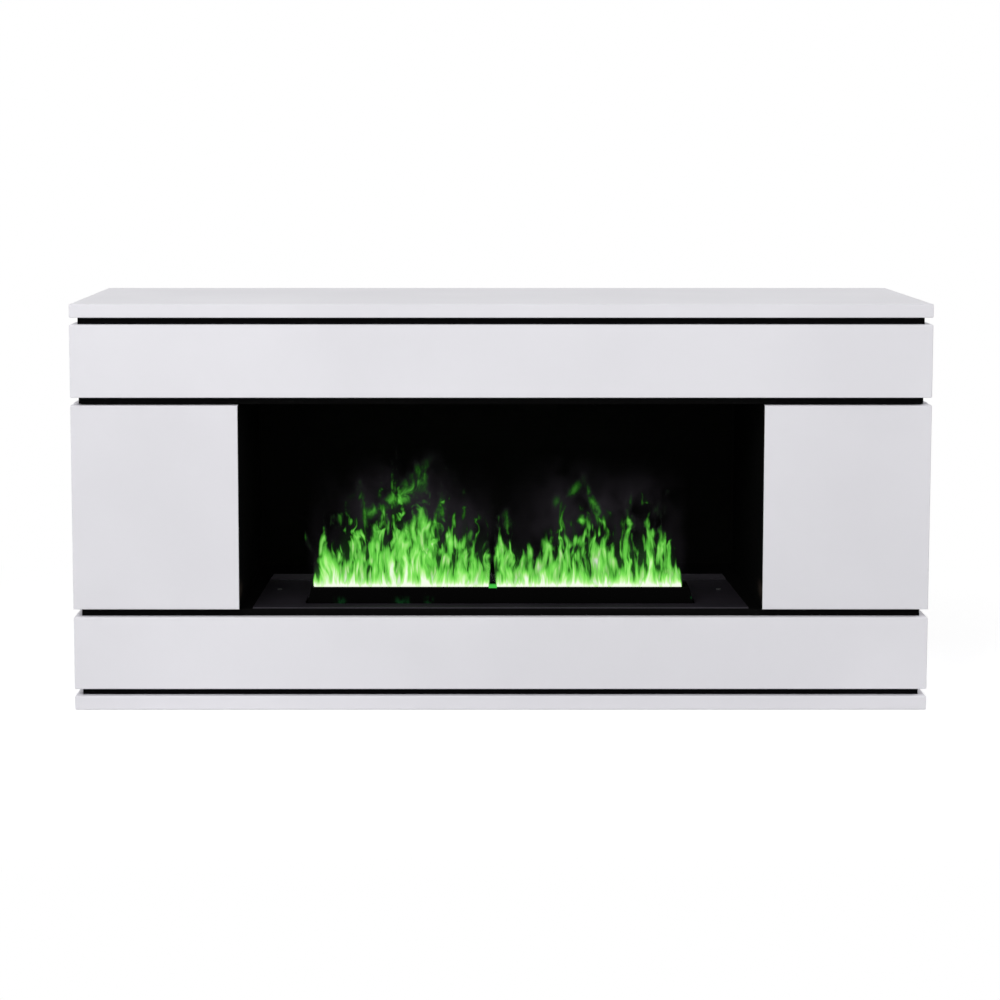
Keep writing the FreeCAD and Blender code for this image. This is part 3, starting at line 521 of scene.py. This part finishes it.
def grow(name, tree, values, places=()):
    seed = bpy.data.meshes.new(name + "Seed")
    seed.from_pydata([tuple(place) for place in places], [], [])
    host = bpy.data.objects.new(name + "Host", seed)
    scene.collection.objects.link(host)
    modifier = host.modifiers.new("grow", "NODES")
    modifier.node_group = tree
    for item in tree.interface.items_tree:
        if item.in_out == "INPUT" and item.name in values:
            modifier[item.identifier] = values[item.name]
    bpy.context.view_layer.update()
    graph = bpy.context.evaluated_depsgraph_get()
    mesh = bpy.data.meshes.new_from_object(host.evaluated_get(graph))
    host.modifiers.clear()
    bpy.data.objects.remove(host)
    mesh.name = name
    piece = bpy.data.objects.new(name, mesh)
    scene.collection.objects.link(piece)
    return piece


# cross-head screws of the hinges, latches and back panel
screw = {"radius": 0.0035, "height": 0.0016, "topShare": 0.72, "crossWideShare": 0.26, "crossLongShare": 1.2,
         "crossDeepShare": 1.4, "corners": 20}


def screwTree():
    inputs = {"Radius": "Float", "Height": "Float", "Cross wide": "Float", "Cross long": "Float",
              "Facing": "Vector"}
    tree, build, value = startTree("crossHeadScrews", inputs)
    points = build.node("GeometryNodeMeshToPoints", {}, {"Mesh": value["Geometry"]})
    sockets = {"Vertices": screw["corners"], "Radius Top": value["Radius"] * screw["topShare"],
               "Radius Bottom": value["Radius"], "Depth": value["Height"]}
    head = build.node("GeometryNodeMeshCone", {}, sockets)
    crossBars = []
    for turn in (0.0, math.pi / 2):
        sockets = {"X": value["Cross long"], "Y": value["Cross wide"],
                   "Z": value["Height"] * screw["crossDeepShare"]}
        size = build.node("ShaderNodeCombineXYZ", {}, sockets)
        bar = build.node("GeometryNodeMeshCube", {}, {"Size": size})
        lift = build.node("ShaderNodeCombineXYZ", {}, {"Z": value["Height"]})
        sockets = {"Geometry": bar, "Translation": lift, "Rotation": (0.0, 0.0, turn)}
        crossBars.append(build.node("GeometryNodeTransform", {}, sockets))
    cutHead = build.node("GeometryNodeMeshBoolean", {"operation": "DIFFERENCE"}, {"Mesh 1": head})
    for bar in crossBars:
        tree.links.new(cutHead.socket.node.inputs["Mesh 2"], bar.socket)
    turned = build.node("FunctionNodeAlignRotationToVector", {"axis": "Z"}, {"Vector": value["Facing"]})
    sockets = {"Points": points, "Instance": cutHead, "Rotation": turned}
    placed = build.node("GeometryNodeInstanceOnPoints", {}, sockets)
    endTree(build, build.node("GeometryNodeRealizeInstances", {}, {"Geometry": placed}), finishes["nickel"])
    return tree


crossHeads = screwTree()


def screws(name, places, facing, body, radius=screw["radius"], height=screw["height"]):
    values = {"Radius": radius, "Height": height, "Cross wide": radius * screw["crossWideShare"],
              "Cross long": radius * screw["crossLongShare"], "Facing": facing}
    piece = grow(name, crossHeads, values, places)
    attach(piece, body)


# where the hinges and latches are screwed on, for the right side; the left one mirrors it
fixings = {
    "levels": (0.2425, 0.4285),  # of the two hinges
    "cupInset": 0.0215,  # from the door's outer edge
    "cupFace": -0.1668,
    "cupWing": 0.0235,
    "plateFace": 0.675,
    "plateDepth": -0.1295,
    "plateReach": 0.0205,
    "latchFace": 0.458,
    "latchDepths": (-0.15, -0.115),
    "latchLevel": 0.445,
    "latchRadius": 0.0026,
}
for side, sign in (("left", -1), ("right", 1)):
    cupAcross = (cadHigh[0] - fixings["cupInset"]) * sign
    plateAcross = fixings["plateFace"] * sign
    latchAcross = fixings["latchFace"] * sign
    cupPlaces = []
    platePlaces = []
    for level in fixings["levels"]:
        for end in (-1, 1):
            cupPlaces.append((cupAcross, fixings["cupFace"], level + fixings["cupWing"] * end))
            platePlaces.append((plateAcross, fixings["plateDepth"], level + fixings["plateReach"] * end))
    latchPlaces = [(latchAcross, depth, fixings["latchLevel"]) for depth in fixings["latchDepths"]]
    screws(f"cup_screws_{side}", cupPlaces, (0, 1, 0), f"door_{side}")
    screws(f"plate_screws_{side}", platePlaces, (-sign, 0, 0), "carcass")
    screws(f"latch_screws_{side}", latchPlaces, (sign, 0, 0), "carcass", fixings["latchRadius"])

# flat nails along the edges of the back panel
backNails = {"inset": 0.011, "pitch": 0.13, "radius": 0.0024, "proud": 0.00004}
panelLow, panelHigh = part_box("back_panel")
nailPlaces = []
for axis in (0, 2):
    start, stop = panelLow[axis] + backNails["inset"], panelHigh[axis] - backNails["inset"]
    count = round((stop - start) / backNails["pitch"])
    other = 2 - axis
    for number in range(count + 1 - axis):  # the corners belong to the long edges
        share = (number + axis / 2) / count
        for edge in (panelLow[other] + backNails["inset"], panelHigh[other] - backNails["inset"]):
            place = [0.0, panelHigh[1], 0.0]
            place[axis] = start + (stop - start) * share
            place[other] = edge
            nailPlaces.append(place)
screws("back_nails", nailPlaces, (0, 1, 0), "carcass", backNails["radius"], backNails["proud"])
print("screws placed")


# the curtains of lit mist that rise from the trough cover's two slots
slots = {"left": (-0.3095, -0.019), "right": (-0.006, 0.3015)}
slotFront, slotBack, slotMouth = -0.140, -0.106, 0.1945
curtain = {
    "sheetReach": (0.85, 1.0, 1.4),  # front to back, as shares of the table's height
    "wispSheet": 1,
    "vapourSheet": 2,
    "spread": 0.022,
    "height": 0.235,
    "column": 0.0028,
    "row": 0.0032,
    "overhang": 0.016,
    "sway": 0.02,
    "swayGain": 4.0,
    "waveScale": 16.0,
    "foot": -0.002,
    "seeds": {"left": 11, "right": 29},
    "leanSwing": 0.16,
    "leanWaves": 55,
    "leanPhase": 6.28,
    "leanSide": 0.02,
    "overReach": 1.15,  # a leaning tongue stands at most this many times the table's height
    "tongues": 25,  # on each sheet
    "tongueStrength": (-0.5, 0.3),
    "tongueHalf": (0.003, 0.008),
    "tongueLimits": (0.35, 1.2),
    "leastTop": 0.002,
    "riseMost": 4.0,
    "heatFall": 0.0065,
    "endSoft": 0.0015,  # how fast the ends fade past the slot, low down and further up
    "endFlare": 0.16,
    "vapourEdge": 1.1,
    "vapourTop": 0.05,
    "vapourTopLoss": 0.2,
}
flameTraits = ("flameRise", "flameHeat", "flameMark", "flameWisp", "flameVapour")
# how high the body of the flames stands along the trough: across, height above the slot's mouth
flameReach = {
    "left": ((-0.318, 0.026), (-0.309, 0.052), (-0.3, 0.072), (-0.293, 0.076), (-0.284, 0.066),
             (-0.272, 0.058), (-0.26, 0.084), (-0.24, 0.106), (-0.219, 0.122), (-0.202, 0.118),
             (-0.184, 0.122), (-0.16, 0.132), (-0.144, 0.148), (-0.127, 0.146), (-0.1, 0.118),
             (-0.077, 0.108), (-0.056, 0.108), (-0.035, 0.072), (-0.018, 0.08)),
    "right": ((-0.007, 0.092), (0.011, 0.094), (0.03, 0.062), (0.047, 0.05), (0.06, 0.056), (0.08, 0.08),
              (0.102, 0.092), (0.13, 0.106), (0.155, 0.1), (0.174, 0.092), (0.189, 0.076), (0.204, 0.114),
              (0.212, 0.124), (0.22, 0.106), (0.23, 0.072), (0.239, 0.098), (0.249, 0.114), (0.257, 0.092),
              (0.264, 0.096), (0.273, 0.116), (0.28, 0.09), (0.29, 0.048), (0.301, 0.02)),
}
# brighter licks and dark holes in the body: across, up, half width, half height, lean, strength
flameMarks = {
    "left": ((-0.284, 0.036, 0.012, 0.034, -0.35, 1.0), (-0.159, 0.083, 0.015, 0.018, 0.0, 0.7),
             (-0.183, 0.03, 0.005, 0.015, -0.2, 1.3), (-0.157, 0.018, 0.004, 0.022, 0.0, 1.3),
             (-0.127, 0.01, 0.009, 0.016, 0.1, 1.1), (-0.121, 0.078, 0.012, 0.02, -0.2, 0.45),
             (-0.077, 0.07, 0.011, 0.01, -0.5, 0.5), (-0.217, 0.027, 0.004, 0.009, 0.2, -0.9),
             (-0.082, 0.034, 0.005, 0.016, 0.2, -0.7), (-0.268, 0.075, 0.012, 0.02, 0.5, -0.6),
             (-0.053, 0.05, 0.004, 0.02, 0.1, -0.5), (-0.303, 0.024, 0.006, 0.018, 0.0, -0.7),
             (-0.243, 0.048, 0.008, 0.022, 0.0, 0.6), (-0.062, 0.045, 0.006, 0.026, 0.1, 0.5),
             (-0.13, 0.108, 0.014, 0.016, 0.0, 0.55), (-0.213, 0.066, 0.012, 0.018, 0.0, 0.5),
             (-0.03, 0.05, 0.01, 0.02, 0.0, -0.4), (-0.086, 0.098, 0.008, 0.012, 0.0, -0.5),
             (-0.243, 0.086, 0.008, 0.014, 0.0, -0.4), (-0.166, 0.124, 0.01, 0.014, 0.0, -0.4)),
    "right": ((0.132, 0.073, 0.012, 0.009, -0.2, 0.75), (0.17, 0.05, 0.007, 0.03, 0.1, 0.6),
              (0.211, 0.062, 0.008, 0.05, 0.05, 0.5), (0.25, 0.07, 0.007, 0.036, 0.0, 0.4),
              (0.274, 0.06, 0.007, 0.045, 0.0, 0.45), (0.047, 0.052, 0.009, 0.012, 0.0, 0.5),
              (0.083, 0.07, 0.011, 0.012, 0.4, 0.4), (0.0, 0.06, 0.007, 0.03, -0.2, 0.4),
              (0.138, 0.036, 0.004, 0.013, -0.2, -0.9), (0.197, 0.045, 0.005, 0.028, 0.0, -0.8),
              (0.029, 0.04, 0.006, 0.026, 0.0, -0.7), (0.15, 0.016, 0.003, 0.014, 0.0, -0.8),
              (0.118, 0.09, 0.01, 0.012, 0.0, -0.5), (0.232, 0.07, 0.006, 0.04, 0.0, -0.7),
              (0.15, 0.055, 0.009, 0.016, 0.0, -0.5), (0.255, 0.057, 0.007, 0.016, 0.0, -0.4)),
}
# loose wisps above the body, in the same order
looseWisps = {
    "left": ((-0.328, 0.085, 0.005, 0.03, -0.5, 0.4), (-0.231, 0.15, 0.009, 0.026, -0.1, 0.5),
             (-0.215, 0.122, 0.012, 0.016, 0.4, 0.6), (-0.186, 0.138, 0.016, 0.014, 0.5, 0.46),
             (-0.154, 0.152, 0.026, 0.026, 0.5, 0.46), (-0.134, 0.186, 0.024, 0.032, 0.5, 0.42),
             (-0.1, 0.13, 0.01, 0.026, 0.2, 0.5)),
    "right": ((0.008, 0.11, 0.008, 0.018, 0.1, 0.5), (0.094, 0.14, 0.01, 0.016, 0.2, 0.32),
              (0.124, 0.16, 0.013, 0.022, 0.5, 0.42), (0.138, 0.108, 0.01, 0.011, 0.1, 0.95),
              (0.15, 0.148, 0.009, 0.028, -0.3, 0.45), (0.163, 0.116, 0.009, 0.022, -0.1, 0.5),
              (0.213, 0.135, 0.007, 0.022, 0.1, 0.45), (0.26, 0.13, 0.007, 0.022, 0.2, 0.35)),
}
# pale vapour that the light barely reaches, in the same order
thinVapour = {
    "left": ((-0.16, 0.06, 0.13, 0.07, 0.0, 0.7), (-0.17, 0.13, 0.07, 0.05, 0.0, 0.7),
             (-0.07, 0.1, 0.05, 0.05, 0.0, 0.5), (-0.145, 0.2, 0.06, 0.04, 0.0, 0.3)),
    "right": ((0.15, 0.06, 0.14, 0.07, 0.0, 0.7), (0.14, 0.13, 0.06, 0.05, 0.0, 0.6),
              (0.235, 0.13, 0.05, 0.05, 0.0, 0.4), (0.1, 0.2, 0.03, 0.03, 0.0, 0.25)),
}
mistLook = {
    "driftScale": (30.0, 90.0, 15.0),
    "driftPush": (0.024, 0.0, 0.02),
    "lickScale": (92.0, 210.0, 19.0),
    "threadScale": (310.0, 300.0, 30.0),
    "billowScale": (64.0, 80.0, 34.0),
    "softScale": (20.0, 40.0, 12.0),
    "lickShare": 4.3,
    "threadShare": 2.2,
    "puffShare": 0.75,
    "highFrom": 0.3,  # shares of the local flame height
    "highTo": 1.2,
    "threadLoss": 0.75,  # the threads melt away towards the tops
    "streakLoss": 0.84,
    "footFill": 0.88,
    "fillFall": 0.84,
    "glowShare": 0.3,
    "fillShare": 0.46,
    "hotShare": 0.7,
    "stops": [(0.0, tint(14, 40, 12)), (0.15, tint(40, 108, 30)), (0.34, tint(94, 200, 66)),
              (0.54, tint(134, 232, 96)), (0.74, tint(190, 248, 152)), (1.0, tint(246, 255, 236))],
    "vapour": tint(62, 58, 65),
    "vapourShare": 0.4,
    "bodyVeil": 0.86,
    "hotVeil": 0.3,
    "veilMost": 0.97,
}


def mistFinish():
    material, paint, point = startFinish("litMist")
    rise, hot, mark, wisp, vapour = [paint.node("ShaderNodeAttribute", {"attribute_name": label}, {}, "Fac")
                                     for label in flameTraits]
    drift = cloud(paint, point, mistLook["driftScale"], 1.0, 1)
    sockets = {0: drift, 1: mistLook["driftPush"], 2: point}
    pushed = paint.node("ShaderNodeVectorMath", {"operation": "MULTIPLY_ADD"}, sockets)
    licks = cloud(paint, pushed, mistLook["lickScale"], 1.0)
    threads = cloud(paint, pushed, mistLook["threadScale"], 2.0)
    billow = easeIn(paint, cloud(paint, pushed, mistLook["billowScale"], 3.0), 0.3, 0.7)
    high = easeIn(paint, rise, mistLook["highFrom"], mistLook["highTo"])
    fine = (threads - 0.5) * (1.0 - high * mistLook["threadLoss"])
    streak = (licks - 0.5) * mistLook["lickShare"] + fine * mistLook["threadShare"]
    puffs = (billow - 0.5) * high * mistLook["puffShare"]  # soft patches take over from the licks at the tops
    body = mistLook["footFill"] - rise * mistLook["fillFall"]
    body = body + streak * (1.0 - high * mistLook["streakLoss"]) + puffs + mark
    loose = wisp * (0.3 + billow * 0.9 + fine * 0.5)
    glow = easeIn(paint, rise, 1.3, 0.3) * mistLook["glowShare"]
    fill = paint.maths("MAXIMUM", paint.maths("MAXIMUM", body, loose), glow)
    solid = easeIn(paint, paint.maths("MAXIMUM", body, glow), 0.0, 1.0 + high * 0.7)
    dense = paint.maths("MAXIMUM", solid, easeIn(paint, loose, 0.0, 1.0))
    heat = fill * mistLook["fillShare"] + hot * mistLook["hotShare"]
    lit = paint.node("ShaderNodeValToRGB", {"stops": mistLook["stops"]}, {"Fac": heat})
    soft = easeIn(paint, cloud(paint, point, mistLook["softScale"], 2.0), 0.25, 0.7)
    colour = blendColour(paint, easeIn(paint, dense, 0.0, 0.3), mistLook["vapour"], lit)
    bright = dense * mistLook["bodyVeil"] + hot * mistLook["hotVeil"]
    veil = paint.maths("MAXIMUM", bright, vapour * soft * mistLook["vapourShare"])
    veil = paint.maths("MINIMUM", veil, mistLook["veilMost"])
    endFinish(paint, {"Base Color": (0, 0, 0, 1), "Roughness": 1.0, "Specular IOR Level": 0.0,
                      "Emission Color": colour, "Emission Strength": 1.0, "Alpha": veil})
    return material


def curtainTree(material):
    inputs = {"Length": "Float", "Height": "Float", "Spread": "Float", "Sheets": "Int", "Sway": "Float",
              "Foot": "Vector", "Columns": "Int", "Rows": "Int"}
    tree, build, value = startTree("mistCurtains", inputs)
    sockets = {"Size X": value["Length"], "Size Y": value["Height"], "Vertices X": value["Columns"],
               "Vertices Y": value["Rows"]}
    grid = build.node("GeometryNodeMeshGrid", {}, sockets)
    lift = build.node("ShaderNodeCombineXYZ", {}, {"Z": value["Height"] * 0.5})
    sockets = {"Geometry": grid, "Translation": lift, "Rotation": (math.pi / 2, 0.0, 0.0)}
    upright = build.node("GeometryNodeTransform", {}, sockets)
    half = build.node("ShaderNodeCombineXYZ", {}, {"Y": value["Spread"] * 0.5})
    first = build.node("ShaderNodeVectorMath", {"operation": "SUBTRACT"}, {0: value["Foot"], 1: half})
    step = build.node("ShaderNodeCombineXYZ", {}, {"Y": value["Spread"] / (value["Sheets"] - 1.0)})
    sockets = {"Count": value["Sheets"], "Start Location": first, "Offset": step}
    row = build.node("GeometryNodeMeshLine", {"mode": "OFFSET"}, sockets)
    placed = build.node("GeometryNodeInstanceOnPoints", {}, {"Points": row, "Instance": upright})
    real = build.node("GeometryNodeRealizeInstances", {}, {"Geometry": placed})
    place = build.node("GeometryNodeInputPosition", {}, {})
    sockets = {"Vector": place, "Scale": curtain["waveScale"], "Detail": 2.0}
    wave = build.node("ShaderNodeTexNoise", {}, sockets)
    foot = build.node("ShaderNodeSeparateXYZ", {}, {"Vector": value["Foot"]}, 2)
    up = build.node("ShaderNodeSeparateXYZ", {}, {"Vector": place}, 2) - foot
    shove = (wave - 0.5) * value["Sway"] * up / value["Height"] * curtain["swayGain"]
    push = build.node("ShaderNodeCombineXYZ", {}, {"Y": shove})
    swayed = build.node("GeometryNodeSetPosition", {}, {"Geometry": real, "Offset": push})
    endTree(build, swayed, material)
    return tree


def sheetTops(across, up, side, dice):  # local flame height, with each sheet's own tongues and leans
    places, tops = zip(*flameReach[side])
    low, high = slots[side]
    phase = dice.uniform(0, curtain["leanPhase"])
    swing = curtain["leanSwing"] * up * np.sin(curtain["leanWaves"] * across + phase)
    leaning = across - swing - curtain["leanSide"] * up
    limit = np.interp(across, places, tops) * curtain["overReach"]
    height = np.minimum(np.interp(leaning, places, tops), limit)
    shape = np.ones_like(across)
    for number in range(curtain["tongues"]):
        middle = low + (high - low) * (number + dice.uniform(0, 1)) / curtain["tongues"]
        strength = dice.uniform(*curtain["tongueStrength"])
        half = dice.uniform(*curtain["tongueHalf"])
        shape += strength * np.exp(-((leaning - middle) / half) ** 2)
    return np.clip(height * np.clip(shape, *curtain["tongueLimits"]), curtain["leastTop"], None)


def blots(rows, x, z):  # soft leaning patches, added up
    total = np.zeros_like(x)
    for middle, height, halfWide, halfHigh, lean, strength in rows:
        slant = x - middle - lean * (z - height)
        total += strength * np.exp(-(slant / halfWide) ** 2 - ((z - height) / halfHigh) ** 2)
    return total


def paintCurtains(piece, side):
    mesh = piece.data
    spots = np.zeros(len(mesh.vertices) * 3)
    mesh.vertices.foreach_get("co", spots)
    across = spots[0::3]
    up = np.clip(spots[2::3] - slotMouth, 0, None)
    perSheet = len(across) // len(curtain["sheetReach"])
    dice = random.Random(curtain["seeds"][side])
    low, high = slots[side]
    inside = (across > low) & (across < high)
    traits = {label: np.zeros(len(across)) for label in flameTraits}
    traits["flameHeat"] = np.exp(-up / curtain["heatFall"]) * inside
    traits["flameMark"] = blots(flameMarks[side], across, up)
    for sheet, reach in enumerate(curtain["sheetReach"]):
        part = slice(sheet * perSheet, (sheet + 1) * perSheet)
        x, z = across[part], up[part]
        traits["flameRise"][part] = z / sheetTops(x, z, side, dice) / reach
        if sheet == curtain["wispSheet"]:
            traits["flameWisp"][part] = blots(looseWisps[side], x, z)
        if sheet == curtain["vapourSheet"]:
            traits["flameVapour"][part] = blots(thinVapour[side], x, z)
    beyond = np.clip(low - across, 0, None) + np.clip(across - high, 0, None)
    traits["flameRise"] += beyond / (curtain["endSoft"] + curtain["endFlare"] * up)
    traits["flameRise"] = np.clip(traits["flameRise"], 0, curtain["riseMost"])
    traits["flameVapour"] *= np.clip(1 - beyond / curtain["overhang"] * curtain["vapourEdge"], 0, 1)
    roomAbove = (curtain["height"] - up) / curtain["vapourTop"]
    traits["flameVapour"] *= np.clip(roomAbove - curtain["vapourTopLoss"], 0, 1)
    for label, values in traits.items():
        mesh.attributes.new(label, "FLOAT", "POINT").data.foreach_set("value", values.astype(np.float32))


curtains = curtainTree(mistFinish())
for side, (low, high) in slots.items():
    span = high - low + 2 * curtain["overhang"]
    values = {"Length": span, "Height": curtain["height"], "Spread": curtain["spread"],
              "Sheets": len(curtain["sheetReach"]), "Sway": curtain["sway"],
              "Columns": int(span / curtain["column"]), "Rows": int(curtain["height"] / curtain["row"]),
              "Foot": ((low + high) / 2, (slotFront + slotBack) / 2, slotMouth + curtain["foot"])}
    mist = grow(f"mist_flames_{side}", curtains, values)
    paintCurtains(mist, side)
    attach(mist, "trough_cover")
print("mist curtains grown")

# the glowing, boiling mist in the mouth of each slot
mistBed = {
    "margin": 0.0006,  # clear of the slot's walls
    "level": -0.0032,  # below the slot's mouth
    "lump": 0.0026,
    "lumpLeast": 0.4,
    "cell": 0.003,
    "seed": 5,
    "hot": tint(242, 255, 230),
    "warm": tint(190, 255, 140),
    "strength": 1.1,
}


def mistBedFinish():
    material, paint, point = startFinish("mistBedGlow")
    boil = cloud(paint, point, (120.0, 160.0, 160.0), 3.0)
    colour = blendColour(paint, easeIn(paint, boil, 0.35, 0.7), mistBed["hot"], mistBed["warm"])
    endFinish(paint, {"Base Color": (0, 0, 0, 1), "Roughness": 1.0, "Specular IOR Level": 0.0,
                      "Emission Color": colour, "Emission Strength": mistBed["strength"]})
    return material


mistGlow = mistBedFinish()


def lumpyBed(side):
    low, high = slots[side]
    margin = mistBed["margin"]
    xs = np.arange(low + margin, high - margin, mistBed["cell"])
    ys = np.arange(slotFront + margin, slotBack - margin, mistBed["cell"])
    middle, deep = (slotFront + slotBack) / 2, slotBack - slotFront
    level = slotMouth + mistBed["level"]
    dice = random.Random(mistBed["seed"])
    points = []
    for y in ys:
        crown = 1 - abs((y - middle) / deep * 2) ** 3  # lower towards the slot's two long walls
        for x in xs:
            lump = mistBed["lump"] * crown * dice.uniform(mistBed["lumpLeast"], 1.0)
            points.append((x, y, level + lump))
    wide = len(xs)
    faces = []
    for j in range(len(ys) - 1):
        for i in range(wide - 1):
            corner = j * wide + i
            faces.append((corner, corner + 1, corner + wide + 1, corner + wide))
    mesh = bpy.data.meshes.new(f"mist_bed_{side}")
    mesh.from_pydata(points, [], faces)
    mesh.shade_smooth()
    mesh.materials.append(mistGlow)
    piece = bpy.data.objects.new(f"mist_bed_{side}", mesh)
    scene.collection.objects.link(piece)
    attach(piece, "trough_cover")


for side in slots:
    lumpyBed(side)
print("mist beds laid")


# floor, white surroundings, lamps and camera
studio = {
    "floorColour": (0.9, 0.9, 0.9, 1.0),
    "floorShade": (0.88, 0.88, 0.88, 1.0),
    "floorHalf": 14.0,
    "floorLevel": -0.0004,  # just clear of the base board
    "floorLift": 0.4,
    "floorNear": (0.72, 0.24),  # half sizes of the paper under the cabinet
    "floorFade": (0.05, 0.7),  # from there it runs out to plain white
    "ambient": 0.42,
    "lamps": (
        ("keyLamp", (-2.0, -3.1, 3.2), 2.4, 95.0),  # place, size, power
        ("fillLamp", (2.4, -3.0, 2.9), 2.4, 26.0),
        ("backLamp", (3.4, 2.6, 1.2), 1.8, 60.0),
    ),
    "aim": (0.0, -0.1, 0.35),
}
view = {
    "place": (-0.067241, -3.496754, 0.925449),
    "yaw": 0.000475,
    "pitch": 0.085082,
    "lens": 73.8366,
    "sensor": 36.0,
    "shift": (0.039291, -0.18),
    "farEnd": 100.0,
}


def makeFloor():
    half, level = studio["floorHalf"], studio["floorLevel"]
    corners = [(x * half, y * half, level) for x, y in ((-1, -1), (1, -1), (1, 1), (-1, 1))]
    mesh = bpy.data.meshes.new("studioFloor")
    mesh.from_pydata(corners, [], [(0, 1, 2, 3)])
    material, paint, point = startFinish("palePaper")
    seen = paint.node("ShaderNodeLightPath", {}, {}, "Is Camera Ray")
    paper = cloud(paint, point, 40.0, 2.0)
    x, y = axes(paint, point)[:2]
    nearX, nearY = studio["floorNear"]
    away = paint.maths("MAXIMUM", abs(x) - nearX, abs(y) - nearY)
    far = easeIn(paint, away, *studio["floorFade"])
    colour = blendColour(paint, paper, studio["floorColour"], studio["floorShade"])
    plain = paint.node("ShaderNodeBsdfDiffuse", {}, {"Color": colour})
    lift = paint.node("ShaderNodeEmission", {}, {"Strength": seen * studio["floorLift"]})
    near = paint.node("ShaderNodeAddShader", {}, {0: plain, 1: lift})
    white = paint.node("ShaderNodeEmission", {}, {"Strength": 1.0})
    both = paint.node("ShaderNodeMixShader", {}, {0: far * seen, 1: near, 2: white})
    paint.node("ShaderNodeOutputMaterial", {}, {"Surface": both})
    mesh.materials.append(material)
    floor = bpy.data.objects.new("studioFloor", mesh)
    scene.collection.objects.link(floor)
    floor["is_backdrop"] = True


def makeWorld():
    world = bpy.data.worlds.new("whiteSurround")
    world.use_nodes = True
    world.node_tree.nodes.clear()
    paint = Wire(world.node_tree)
    path = paint.node("ShaderNodeLightPath", {}, {}, "Is Camera Ray")
    outputs = path.socket.node.outputs
    seen = path
    for label in ("Is Glossy Ray", "Is Transmission Ray"):
        seen = paint.maths("MAXIMUM", seen, Wire(world.node_tree, outputs[label]))
    strength = seen * (1.0 - studio["ambient"]) + studio["ambient"]
    sky = paint.node("ShaderNodeBackground", {}, {"Color": (1, 1, 1, 1), "Strength": strength})
    paint.node("ShaderNodeOutputWorld", {}, {"Surface": sky})
    scene.world = world


def makeLamps():
    for name, place, size, power in studio["lamps"]:
        lamp = bpy.data.lights.new(name, "AREA")
        lamp.size = size
        lamp.energy = power
        holder = bpy.data.objects.new(name, lamp)
        holder.location = place
        ahead = Vector(studio["aim"]) - Vector(place)
        holder.rotation_euler = ahead.to_track_quat("-Z", "Y").to_euler()
        scene.collection.objects.link(holder)


def makeCamera():
    lens = bpy.data.cameras.new("photoCamera")
    lens.lens = view["lens"]
    lens.sensor_width = view["sensor"]
    lens.shift_x, lens.shift_y = view["shift"]
    lens.clip_end = view["farEnd"]
    camera = bpy.data.objects.new("photoCamera", lens)
    camera.location = view["place"]
    yaw, pitch = view["yaw"], view["pitch"]
    ahead = Vector((math.sin(yaw) * math.cos(pitch), math.cos(yaw) * math.cos(pitch), -math.sin(pitch)))
    camera.rotation_euler = ahead.to_track_quat("-Z", "Y").to_euler()
    scene.collection.objects.link(camera)
    scene.camera = camera


makeFloor()
makeWorld()
makeLamps()
makeCamera()
scene.view_settings.view_transform = "Standard"
scene.cycles.transparent_max_bounces = 24
print("studio set")

low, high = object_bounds()
print("visual box", [round(value, 4) for value in (*low, *high)])
